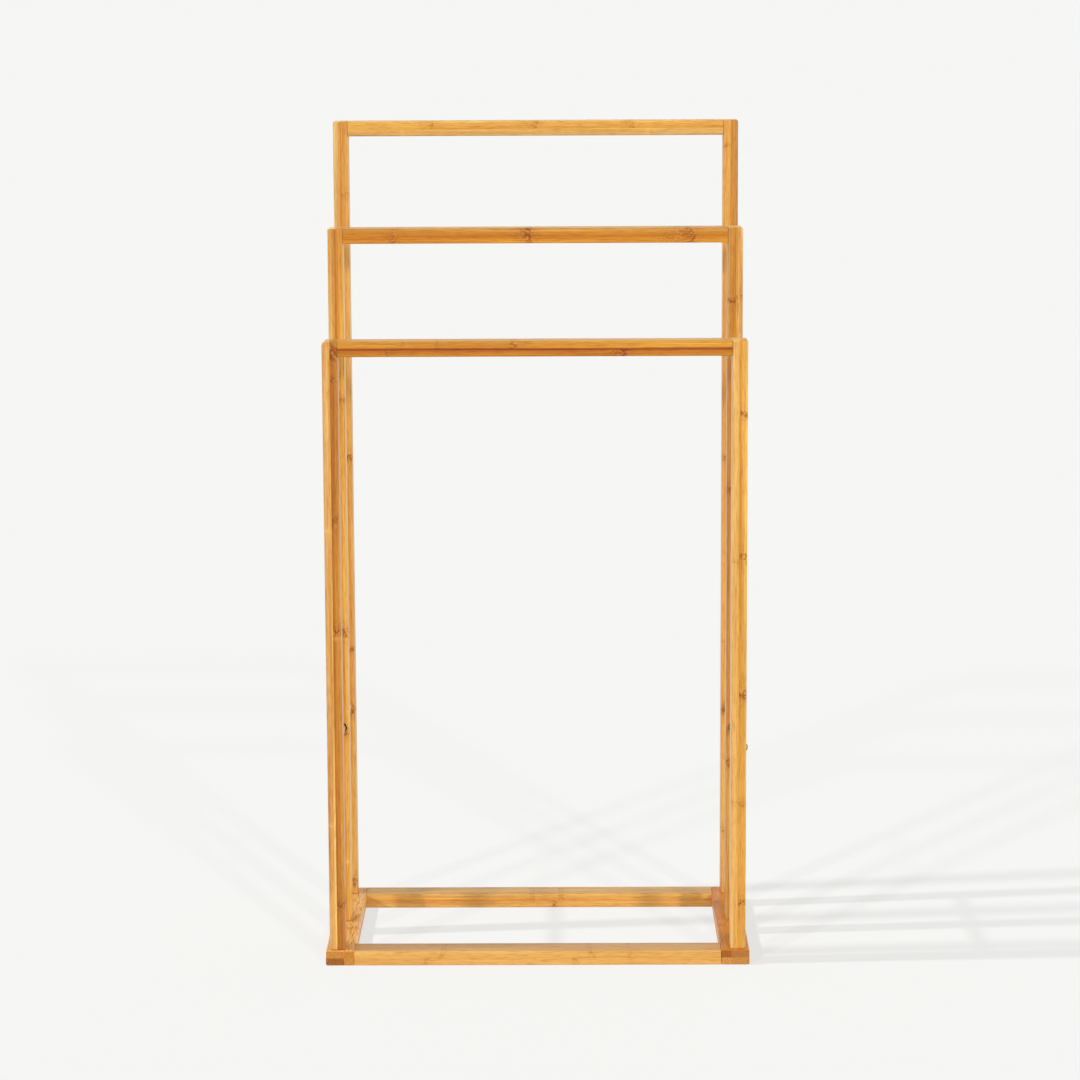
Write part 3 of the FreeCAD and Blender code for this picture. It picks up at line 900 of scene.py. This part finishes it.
def place_piece(piece: Piece, node: str, material: bpy.types.Material) -> None:
    """Give a piece its material, its body and the CAD node that it stands for.

    Args:
        piece: finished object.
        node: CAD node that it replaces.
        material: finish of the piece.
    """
    piece.name = f"{node}_look"
    piece.data.name = piece.name
    piece.data.materials.clear()
    piece.data.materials.append(material)
    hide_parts(node)
    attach(piece, BODY)
    LOG.info("%s: %d faces", piece.name, len(piece.data.polygons))


def paint_node(node: str, material: bpy.types.Material) -> None:
    """Keep a CAD node as it is and give it a material.

    Args:
        node: name of the CAD node.
        material: finish of the node.
    """
    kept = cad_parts[node]
    for place in range(len(kept.material_slots)):
        kept.material_slots[place].material = material
    LOG.info("%s: CAD shape kept", node)


# ---------------------------------------------------------------- sticks


@dataclass
class Stick:
    """Planed stick with rounded arrises, at the place of a CAD node."""

    node: str
    run: Axis
    arris: float = 1.5 * MM
    arris_faces: int = 4
    low: Vector = field(init=False)
    high: Vector = field(init=False)

    def block(self) -> Piece:
        """Start the stick as a block of its node's size and place.

        Returns:
            The block.
        """
        self.low, self.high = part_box(self.node)
        clear_selection()
        bpy.ops.mesh.primitive_cube_add(
            size=1.0, location=(self.low + self.high) / 2, scale=self.high - self.low
        )
        piece = bpy.context.object
        apply_place(piece)
        return piece

    def dress(self, piece: Piece, across: Axis, shaded_bore: Vector | None = None) -> None:
        """Give the modelled stick its own bamboo.

        Args:
            piece: the modelled stick.
            across: axis across its strips.
            shaded_bore: point on the axis of a bore whose wall and rim get a painted shade.
        """
        character = CHARACTER.get(self.node, {})
        bamboo = LaminatedBamboo(self.run, across, STRIPS[self.node], shaded_bore=shaded_bore, **character)
        place_piece(piece, self.node, bamboo.material(self.node, self.low, self.high))

    def along_run(self, one: Vector, two: Vector) -> bool:
        """True for an edge that follows the run of the stick."""
        reach = two - one
        return abs(abs(reach[self.run.value]) - reach.length) < TOUCH

    def on_plane(self, one: Vector, two: Vector, axis: Axis, level: float) -> bool:
        """True for an edge that lies in a plane square to an axis."""
        return all(abs(end[axis.value] - level) < TOUCH for end in (one, two))


@dataclass
class CrossStick(Stick):
    """Bar or rail that butts between two sides: its long edges are rounded, its ends are cut square."""

    run: Axis = Axis.X

    def build(self) -> Piece:
        """Model the stick.

        Returns:
            The piece.
        """
        piece = self.block()
        bevel_edges(piece, self.along_run, self.arris, self.arris_faces)
        finish_mesh(piece)
        return piece


@dataclass
class SideRail(Stick):
    """Base rail that runs front to back, rounded all round and drilled for the foot screws."""

    run: Axis = Axis.Y
    screw_places: tuple[Vector, ...] = ()
    head_radius: float = 4.0 * MM
    shank_radius: float = 2.0 * MM
    head_sink: float = 0.5 * MM
    head_height: float = 2.5 * MM

    def build(self) -> Piece:
        """Model the rail.

        Returns:
            The piece.
        """
        piece = self.block()
        bevel_edges(piece, lambda one, two: True, self.arris, self.arris_faces)
        up = Axis.Z.way
        for place in self.screw_places:
            start = Vector((place.x, place.y, self.low.z))
            seat = start + up * self.head_sink
            drill(piece, drill_bit(start - up * MM, up, self.head_radius, self.head_sink + MM))
            drill(piece, drill_bit(seat, up, self.head_radius, self.head_height, self.shank_radius))
        finish_mesh(piece)
        return piece


@dataclass
class Upright(Stick):
    """Post of a frame: rounded, softer at the top outer corner, and drilled for the brace."""

    run: Axis = Axis.Z
    side: Side = Side.LEFT
    corner: float = 1.5 * MM
    corner_faces: int = 6
    foot_corner: float = 1.6 * MM
    bores: tuple[Bore, ...] = ()

    def build(self) -> Piece:
        """Model the post.

        Returns:
            The piece.
        """
        piece = self.block()
        outer = self.high.x if self.side is Side.RIGHT else self.low.x

        def top_outer(one: Vector, two: Vector) -> bool:
            """True for the top edge on the outer side."""
            return self.on_plane(one, two, Axis.Z, self.high.z) and self.on_plane(one, two, Axis.X, outer)

        def foot(one: Vector, two: Vector) -> bool:
            """True for the foot's edges that run front to back."""
            reach = two - one
            return self.on_plane(one, two, Axis.Z, self.low.z) and abs(reach.y) > MM

        def front_or_back(one: Vector, two: Vector) -> bool:
            """True for the edges of the front and back faces."""
            return any(self.on_plane(one, two, Axis.Y, level) for level in (self.low.y, self.high.y))

        bevel_edges(piece, top_outer, self.corner, self.corner_faces)
        bevel_edges(piece, foot, self.foot_corner, self.arris_faces)
        bevel_edges(piece, front_or_back, self.arris, self.arris_faces)
        for bore in self.bores:
            drill(piece, drill_bit(*bore))
        finish_mesh(piece)
        return piece


@dataclass
class BraceRod:
    """Round bamboo rod with bevelled ends and a pilot hole for its screw."""

    node: str
    chamfer: float = 0.5 * MM
    pilot_radius: float = 1.5 * MM

    def build(self, screw_start: Vector, screw_way: Vector, screw_depth: float) -> Piece:
        """Model the rod.

        Args:
            screw_start: where its screw starts.
            screw_way: direction of the screw.
            screw_depth: how deep the pilot hole goes.

        Returns:
            The piece.
        """
        low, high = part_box(self.node)
        clear_selection()
        bpy.ops.mesh.primitive_cylinder_add(
            vertices=ROUND,
            radius=(high.x - low.x) / 2,
            depth=high.y - low.y,
            location=(low + high) / 2,
            rotation=(math.radians(90), 0, 0),
        )
        piece = bpy.context.object
        apply_place(piece)

        def rim(one: Vector, two: Vector) -> bool:
            """True for the edges round the two ends."""
            return abs(one.y - two.y) < TOUCH

        bevel_edges(piece, rim, self.chamfer, 2)
        drill(piece, drill_bit(screw_start, screw_way, self.pilot_radius, screw_depth))
        finish_mesh(piece)
        return piece


@dataclass
class WoodScrew:
    """Screw with a countersunk or domed head, a cross recess, a thread and a point."""

    length: float
    shank_radius: float
    head_radius: float
    profile: tuple[tuple[float, float], ...]  # head outline: distance along the axis, radius
    tip: float = 3.0 * MM
    pitch: float = 1.4 * MM
    thread_rise: float = 0.35 * MM
    recess_width: float = 1.1 * MM
    recess_share: float = 0.6
    recess_depth: float = 1.2 * MM
    sides: int = 32

    NECK = (2.0, 2.3)  # where the plain neck ends and the core begins, in pitches
    THREAD_START = 3  # in pitches
    RUN_OUT = 4  # turns left off the thread, at both ends together
    POINT = 0.08  # radius of the tip, as a share of the core
    RIDGE = 0.25  # half the width of the ridge, in pitches
    RIDGE_ROOT = 0.05 * MM  # how far the ridge reaches into the core
    TURN_STEPS = 20

    def build(self, seat: Vector, way: Vector) -> Piece:
        """Model the screw along Z, then set it at its place.

        Args:
            seat: point under the head where the shank starts.
            way: unit direction from the head to the tip.

        Returns:
            The piece.
        """
        core = self.shank_radius - self.thread_rise
        outline = list(self.profile)
        outline += [
            (self.NECK[0] * self.pitch, self.shank_radius),
            (self.NECK[1] * self.pitch, core),
            (self.length - self.tip, core),
            (self.length, self.POINT * core),
        ]
        start, radius = outline[0]
        clear_selection()
        bpy.ops.mesh.primitive_circle_add(
            vertices=self.sides, radius=radius, fill_type="NGON", location=(0, 0, start)
        )
        piece = bpy.context.object
        bpy.ops.object.mode_set(mode="EDIT")
        bpy.ops.mesh.select_all(action="SELECT")
        for (last, was), (place, now) in zip(outline, outline[1:]):
            bpy.ops.mesh.extrude_region_move(TRANSFORM_OT_translate={"value": (0, 0, place - last)})
            bpy.ops.transform.resize(value=(now / was, now / was, 1.0))
        bpy.ops.mesh.select_all(action="SELECT")
        bpy.ops.mesh.normals_make_consistent(inside=False)
        bpy.ops.object.mode_set(mode="OBJECT")
        apply_place(piece)
        self.cut_recess(piece)
        thread = self.thread(core)
        make_active(piece)
        thread.select_set(True)
        bpy.ops.object.join()
        piece.location = seat
        piece.rotation_mode = "QUATERNION"
        piece.rotation_quaternion = way.to_track_quat("Z", "Y")
        apply_place(piece)
        finish_mesh(piece)
        return piece

    def cut_recess(self, piece: Piece) -> None:
        """Cut the cross recess into the head.

        Args:
            piece: screw whose head starts at the smallest Z.
        """
        top = self.profile[0][0]
        long_arm = 2 * self.head_radius * self.recess_share
        for size in ((long_arm, self.recess_width), (self.recess_width, long_arm)):
            clear_selection()
            bpy.ops.mesh.primitive_cube_add(
                size=1.0, location=(0, 0, top), scale=(size[0], size[1], 2 * self.recess_depth)
            )
            tool = bpy.context.object
            apply_place(tool)
            drill(piece, tool)

    def thread(self, core: float) -> Piece:
        """Sweep the ridge of the thread round the core.

        Args:
            core: radius that the ridge stands on.

        Returns:
            The ridge as a closed mesh.
        """
        clear_selection()
        half = self.RIDGE * self.pitch
        bpy.ops.mesh.primitive_circle_add(vertices=3, radius=half, fill_type="NGON")
        ridge = bpy.context.object
        bpy.ops.object.mode_set(mode="EDIT")
        shape = bmesh.from_edit_mesh(ridge.data)
        shape.verts.ensure_lookup_table()
        first = self.THREAD_START * self.pitch
        crest = Vector((core + self.thread_rise, 0, first))
        roots = [Vector((core - self.RIDGE_ROOT, 0, first + end * half)) for end in (-1, 1)]
        for corner, place in zip(shape.verts, (crest, *roots)):
            corner.co = place
        bmesh.update_edit_mesh(ridge.data)
        bpy.ops.object.mode_set(mode="OBJECT")
        turns = math.floor((self.length - self.tip) / self.pitch) - self.RUN_OUT
        sweep = ridge.modifiers.new("thread", "SCREW")
        sweep.axis = "Z"
        sweep.angle = 2 * math.pi
        sweep.screw_offset = self.pitch
        sweep.iterations = max(1, turns)
        sweep.steps = sweep.render_steps = self.TURN_STEPS
        sweep.use_smooth_shade = True
        bpy.ops.object.modifier_apply(modifier=sweep.name)
        make_active(ridge)
        bpy.ops.object.mode_set(mode="EDIT")
        bpy.ops.mesh.select_all(action="DESELECT")
        bpy.ops.mesh.select_mode(type="EDGE")
        bpy.ops.mesh.select_non_manifold(extend=False)
        bpy.ops.mesh.edge_face_add()
        bpy.ops.mesh.select_all(action="SELECT")
        bpy.ops.mesh.normals_make_consistent(inside=False)
        bpy.ops.object.mode_set(mode="OBJECT")
        return ridge


# ---------------------------------------------------------------- sub-assemblies

FRAMES = ("front", "middle", "rear")


def middle_of(node: str) -> Vector:
    """Middle of a CAD node's box."""
    low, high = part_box(node)
    return (low + high) / 2


@dataclass
class Base:
    """Flat base: two side rails with two cross rails glued between them."""

    def build(self) -> None:
        """Model and dress the four rails."""
        for side in Side:
            places = tuple(foot_screw_place(name, side) for name in FRAMES)
            rail = SideRail(f"base_side_rail_{side.word}", screw_places=places)
            rail.dress(rail.build(), Axis.Z)
        for where in ("front", "rear"):
            rail = CrossStick(f"base_{where}_rail")
            rail.dress(rail.build(), Axis.Z)


@dataclass
class TowelFrame:
    """Upside-down U: two posts and the bar between their tops."""

    name: str
    rod_embed: float = 18.0 * MM
    rod_clearance: float = 1.0 * MM
    overshoot: float = 1.0 * MM

    def build(self, brace: "Brace") -> None:
        """Model and dress the frame.

        Args:
            brace: brace and screw that its posts are drilled for.
        """
        for side in Side:
            node = f"{self.name}_upright_{side.word}"
            corner = SOFT_CORNERS.get(node, TOP_CORNER) * MM
            post = Upright(node, side=side, corner=corner, bores=self.bores(side, brace))
            # The bore of this post gets a painted shade round the rod.
            shaded_bore = middle_of(f"brace_rod_{side.word}") if node == BORE_SHADED_POST else None
            post.dress(post.build(), Axis.X, shaded_bore)
        bar = CrossStick(f"{self.name}_bar")
        bar.dress(bar.build(), Axis.Z)

    def bores(self, side: Side, brace: "Brace") -> tuple[Bore, ...]:
        """Holes of one post.

        Args:
            side: side of the rack.
            brace: brace and screw that the post is drilled for.

        Returns:
            The holes.
        """
        low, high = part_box(f"{self.name}_upright_{side.word}")
        rod_low, rod_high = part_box(f"brace_rod_{side.word}")
        rod = (rod_low + rod_high) / 2
        radius = (rod_high.x - rod_low.x) / 2
        back = Axis.Y.way
        if self.name == "middle":
            start = Vector((rod.x, low.y - self.overshoot, rod.z))
            through = high.y - low.y + 2 * self.overshoot
            return (Bore(start, back, radius + self.rod_clearance, through),)
        if self.name == "rear":
            start = Vector((rod.x, low.y - self.overshoot, rod.z))
            return (Bore(start, back, radius, self.rod_embed + self.overshoot),)
        start = Vector((rod.x, high.y + self.overshoot, rod.z))
        socket = Bore(start, -back, radius, self.rod_embed + self.overshoot)
        return (socket, *brace.screw_holes(side))


@dataclass
class Brace:
    """Round rod on each side, held by a small round-head screw in the front post."""

    screw_length: float = 10.0 * MM
    screw_radius: float = 1.5 * MM
    head_radius: float = 3.5 * MM
    head_height: float = 2.0 * MM
    head_clearance: float = 0.2 * MM
    end_gap: float = 0.5 * MM
    overshoot: float = 1.0 * MM
    dome_rings: int = 7

    def seat(self, side: Side) -> Vector:
        """Point under a screw's head: on the post's face, or sunk on the left.

        Args:
            side: side of the rack.

        Returns:
            The point.
        """
        low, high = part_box(f"front_upright_{side.word}")
        rod = middle_of(f"brace_rod_{side.word}")
        outer = high.x if side is Side.RIGHT else low.x
        sink = self.head_height + self.head_clearance if side is Side.LEFT else 0.0
        return Vector((outer, (low.y + high.y) / 2, rod.z)) - side.outward * sink

    def screw_holes(self, side: Side) -> tuple[Bore, ...]:
        """Pilot hole in a front post and, on the left, the counterbore of the sunk head.

        Args:
            side: side of the rack.

        Returns:
            The holes.
        """
        seat = self.seat(side)
        inward = -side.outward
        holes = [Bore(seat + side.outward * self.overshoot, inward, self.screw_radius, self.pilot_depth())]
        if side is Side.LEFT:
            depth = self.head_height + self.head_clearance + self.overshoot
            start = seat + side.outward * depth
            holes.append(Bore(start, inward, self.head_radius + self.head_clearance, depth))
        return tuple(holes)

    def pilot_depth(self) -> float:
        """Depth of the pilot hole from a little outside the screw's seat."""
        return self.screw_length + self.end_gap + self.overshoot

    def dome(self) -> tuple[tuple[float, float], ...]:
        """Outline of the domed head, from its crown to its rim and under it.

        Returns:
            Distance along the axis and radius of each ring.
        """
        rings = []
        for index in range(1, self.dome_rings + 1):
            turn = math.radians(90) * index / self.dome_rings
            rings.append((-self.head_height * math.cos(turn), self.head_radius * math.sin(turn)))
        return (*rings, (0.0, self.screw_radius))

    def build(self) -> None:
        """Model and dress the rods and their screws."""
        rod_finish = BAMBOO_ROD.material()
        screw_finish = BRONZED_STEEL.material()
        for side in Side:
            inward = -side.outward
            start = self.seat(side) + side.outward * self.overshoot
            node = f"brace_rod_{side.word}"
            piece = BraceRod(node).build(start, inward, self.pilot_depth())
            place_piece(piece, node, rod_finish)
            node = f"brace_screw_{side.word}"
            screw = WoodScrew(
                self.screw_length, self.screw_radius, self.head_radius, self.dome(), thread_rise=0.3 * MM,
                pitch=1.1 * MM,
            )
            place_piece(screw.build(self.seat(side), inward), node, screw_finish)


def foot_screw_place(frame_name: str, side: Side) -> Vector:
    """Axis of a foot screw: a quarter of the post's depth in front of its middle.

    Args:
        frame_name: front, middle or rear.
        side: side of the rack.

    Returns:
        Point on the axis, at the floor.
    """
    low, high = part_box(f"{frame_name}_upright_{side.word}")
    return Vector(((low.x + high.x) / 2, (low.y + high.y) / 2 - (high.y - low.y) / 4, 0.0))


@dataclass
class Fasteners:
    """Foot screws under the base and the dowels inside the joints."""

    screw_length: float = 40.0 * MM
    screw_radius: float = 2.0 * MM
    head_radius: float = 4.0 * MM
    head_height: float = 2.5 * MM
    head_rim: float = 0.15 * MM

    def build(self) -> None:
        """Model the foot screws and paint the dowels."""
        finish = ZINC_STEEL.material()
        profile = (
            (0.0, self.head_radius), (self.head_rim, self.head_radius), (self.head_height, self.screw_radius)
        )
        for side in Side:
            node = f"foot_screws_{side.word}"
            low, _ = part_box(node)
            made = []
            for name in FRAMES:
                screw = WoodScrew(self.screw_length, self.screw_radius, self.head_radius, profile)
                axis = foot_screw_place(name, side)
                made.append(screw.build(Vector((axis.x, axis.y, low.z)), Axis.Z.way))
            make_active(made[0])
            for piece in made[1:]:
                piece.select_set(True)
            bpy.ops.object.join()
            place_piece(made[0], node, finish)
        beech = {axis: DOWELS[axis].material() for axis in DOWELS}
        for side in Side:
            paint_node(f"foot_dowels_{side.word}", beech[Axis.Z])
        for node in ("front_rail", "rear_rail", "front_bar", "middle_bar", "rear_bar"):
            paint_node(f"{node}_dowels", beech[Axis.X])


# ---------------------------------------------------------------- studio


@dataclass
class Studio:
    """Pale seamless floor, plain soft light and the camera."""

    floor_shade: str = "#F6F6F4"
    backdrop_shade: str = "#F6F6F4"
    radius: float = 30.0
    room: float = 0.46  # light from all round, before it leans to the pale sweep behind
    room_lean: Vector = Vector((0.06, 0.45, 0.0))
    key_place: Vector = Vector((-2.76, -0.30, 2.80))
    key_radius: float = 0.08
    key_on_rack: float = 0.25
    paper_glow: float = 0.74  # share of the floor's brightness that no shadow takes away
    key_share: float = 0.13  # of the floor's brightness
    soft_turns: tuple[float, float] = (-33.0, 22.0)
    soft_level: float = 0.38  # on the front of the rack
    soft_rise: float = 16.0
    soft_angle: float = 4.5
    fill_turn: float = 70.0
    fill_rise: float = 4.0
    fill_angle: float = 20.0
    fill_level: float = 0.5  # on faces turned to the right
    floor_soft_shares: tuple[float, float] = (0.036, 0.034)
    floor_soft_rise: float = 30.0
    floor_soft_angle: float = 3.0
    camera_place: Vector = Vector((0.0272, -3.5043, 0.9689))
    camera_turns: tuple[float, float, float] = (9.17, -0.39, -0.26)  # down, to the side, on its axis
    lens: float = 118.59  # on a sensor 36 mm wide
    sensor: float = 36.0
    far_clip: float = 100.0

    def build(self) -> None:
        """Set up floor, backdrop, lights and camera."""
        self.world()
        lit = 1 - self.paper_glow
        total = self.room / (1 - (self.key_share + sum(self.floor_soft_shares)) / lit)
        key_on_floor = total * self.key_share / lit
        floor = self.floor(total - key_on_floor, key_on_floor)
        self.link_to_floor(self.key_light("rack", self.key_on_rack), floor, "EXCLUDE")
        self.link_to_floor(self.key_light("floor", key_on_floor), floor, "INCLUDE")
        self.soft_boxes(floor, total / lit)
        sideways = math.sin(math.radians(self.fill_turn)) * math.cos(math.radians(self.fill_rise))
        fill = self.sun("fill", self.fill_turn, self.fill_rise, self.fill_angle, self.fill_level / sideways)
        self.link_to_floor(fill, floor, "EXCLUDE")
        self.backdrop()
        self.camera()
        bpy.context.scene.view_settings.view_transform = "Standard"

    def world(self) -> None:
        """Even light from all round, stronger from the sweep behind than from the room in front."""
        world = bpy.data.worlds.new("studio")
        world.use_nodes = True
        bpy.context.scene.world = world
        tree = world.node_tree
        tree.nodes.clear()
        coords = add(tree, "TexCoord")
        lean = add(tree, "VectorMath", {0: coords["Generated"], 1: self.room_lean}, operation="DOT_PRODUCT")
        level = add(tree, "Math", {0: lean["Value"], 1: self.room}, operation="ADD")
        sky = add(tree, "Background", {"Color": linear("#FFFFFE"), "Strength": level[0]})
        add(tree, "OutputWorld", {"Surface": sky[0]})

    def soft_boxes(self, floor: Piece, on_floor: float) -> None:
        """Two soft boxes in front, one on each side, with a higher and weaker pair for the floor alone.

        Args:
            floor: the floor.
            on_floor: light that would give the floor all of its brightness.
        """
        for turn, share in zip(self.soft_turns, self.floor_soft_shares):
            facing = math.cos(math.radians(turn)) * math.cos(math.radians(self.soft_rise))
            rack_light = self.sun("rack", turn, self.soft_rise, self.soft_angle, self.soft_level / facing)
            self.link_to_floor(rack_light, floor, "EXCLUDE")
            down = math.sin(math.radians(self.floor_soft_rise))
            floor_light = self.sun(
                "floor", turn, self.floor_soft_rise, self.floor_soft_angle, on_floor * share / down
            )
            self.link_to_floor(floor_light, floor, "INCLUDE")

    def sun(self, name: str, turn: float, rise: float, angle: float, level: float) -> Piece:
        """Add a far light.

        Args:
            name: what it lights.
            turn: degrees from straight in front, to the right.
            rise: degrees above the floor.
            angle: its size in the sky, in degrees.
            level: light on a face square to it, on the scale of the room's light.

        Returns:
            The lamp.
        """
        azimuth, height = math.radians(turn), math.radians(rise)
        towards = Vector(
            (math.sin(azimuth) * math.cos(height), -math.cos(azimuth) * math.cos(height), math.sin(height))
        )
        side = Side.LEFT if turn < 0 else Side.RIGHT
        light = bpy.data.lights.new(f"soft_box_{side.word}_{name}", "SUN")
        light.energy = level * math.pi
        light.angle = math.radians(angle)
        lamp = bpy.data.objects.new(light.name, light)
        lamp.rotation_euler = towards.to_track_quat("Z", "Y").to_euler()
        bpy.context.scene.collection.objects.link(lamp)
        return lamp

    def link_to_floor(self, lamp: Piece, floor: Piece, state: str) -> None:
        """Let a lamp light the floor alone, or everything else.

        Args:
            lamp: the lamp.
            floor: the floor.
            state: INCLUDE for the floor alone, EXCLUDE for everything else.
        """
        lit = bpy.data.collections.new(f"{lamp.name}_lights")
        lit.objects.link(floor)
        lit.collection_objects[0].light_linking.link_state = state
        lamp.light_linking.receiver_collection = lit

    def key_light(self, name: str, on_floor: float) -> Piece:
        """Small hard light high on the left.

        Args:
            name: what it lights.
            on_floor: light that it gives a level face at the rack's foot.

        Returns:
            The lamp.
        """
        distance = self.key_place.length
        light = bpy.data.lights.new(f"key_{name}", "POINT")
        light.energy = on_floor * 4 * math.pi**2 * distance**3 / self.key_place.z
        light.shadow_soft_size = self.key_radius
        lamp = bpy.data.objects.new(light.name, light)
        lamp.location = self.key_place
        bpy.context.scene.collection.objects.link(lamp)
        return lamp

    def floor(self, even: float, key_on_floor: float) -> Piece:
        """Seamless paper, toned so that it reads evenly lit.

        Args:
            even: light that all of the floor gets.
            key_on_floor: light that the key gives the floor under the rack.

        Returns:
            The floor.
        """
        clear_selection()
        bpy.ops.mesh.primitive_circle_add(vertices=96, radius=self.radius, fill_type="NGON")
        paper = bpy.context.object
        paper.name = "floor"
        material = empty_material("seamless_paper")
        tree = material.node_tree
        coords = add(tree, "TexCoord")
        distance = add(tree, "VectorMath", {0: coords["Object"], 1: self.key_place}, operation="DISTANCE")
        nearness = add(tree, "Math", {0: self.key_place.length, 1: distance["Value"]}, operation="DIVIDE")
        cubed = add(tree, "Math", {0: nearness[0], 1: 3.0}, operation="POWER")
        light = add(tree, "Math", {0: cubed[0], 1: key_on_floor, 2: even}, operation="MULTIPLY_ADD")
        tone = add(tree, "Math", {0: 1.0, 1: light[0]}, operation="DIVIDE")
        shade = add(
            tree, "VectorMath", {0: linear(self.floor_shade)[:3], "Scale": tone[0]}, operation="SCALE"
        )
        matte = add(tree, "BsdfDiffuse", {"Color": shade[0]})
        glow = add(tree, "Emission", {"Color": linear(self.floor_shade), "Strength": 1.0})
        paper_look = add(tree, "MixShader", {0: self.paper_glow, 1: matte[0], 2: glow[0]})
        add(tree, "OutputMaterial", {"Surface": paper_look[0]})
        paper.data.materials.append(material)
        return paper

    def backdrop(self) -> None:
        """Pale surround that only the eye sees."""
        clear_selection()
        bpy.ops.mesh.primitive_uv_sphere_add(segments=64, ring_count=32, radius=self.radius)
        dome = bpy.context.object
        dome.name = "backdrop"
        material = empty_material("backdrop_paper")
        tree = material.node_tree
        glow = add(tree, "Emission", {"Color": linear(self.backdrop_shade), "Strength": 1.0})
        add(tree, "OutputMaterial", {"Surface": glow[0]})
        dome.data.materials.append(material)
        dome.visible_diffuse = False
        dome.visible_glossy = False
        dome.visible_shadow = False

    def camera(self) -> None:
        """Long lens a little above the rack, almost square to its front."""
        pitch, yaw, roll = (math.radians(turn) for turn in self.camera_turns)
        ahead = Vector((math.sin(yaw) * math.cos(pitch), math.cos(yaw) * math.cos(pitch), -math.sin(pitch)))
        level = Vector((math.cos(yaw), -math.sin(yaw), 0.0))
        above = level.cross(ahead)
        right = level * math.cos(roll) + above * math.sin(roll)
        up = above * math.cos(roll) - level * math.sin(roll)
        lens = bpy.data.cameras.new("camera")
        lens.sensor_width = self.sensor
        lens.lens = self.lens
        lens.clip_end = self.far_clip
        camera = bpy.data.objects.new("camera", lens)
        turn = Matrix((right, up, -ahead)).transposed().to_4x4()
        camera.matrix_world = Matrix.Translation(self.camera_place) @ turn
        bpy.context.scene.collection.objects.link(camera)
        bpy.context.scene.camera = camera


def main() -> None:
    """Build the rack and its studio."""
    logging.basicConfig(level=logging.INFO, format="%(name)s: %(message)s")
    Base().build()
    brace = Brace()
    for name in FRAMES:
        TowelFrame(name).build(brace)
    brace.build()
    Fasteners().build()
    Studio().build()
    clear_selection()


if __name__ == "__main__":
    main()
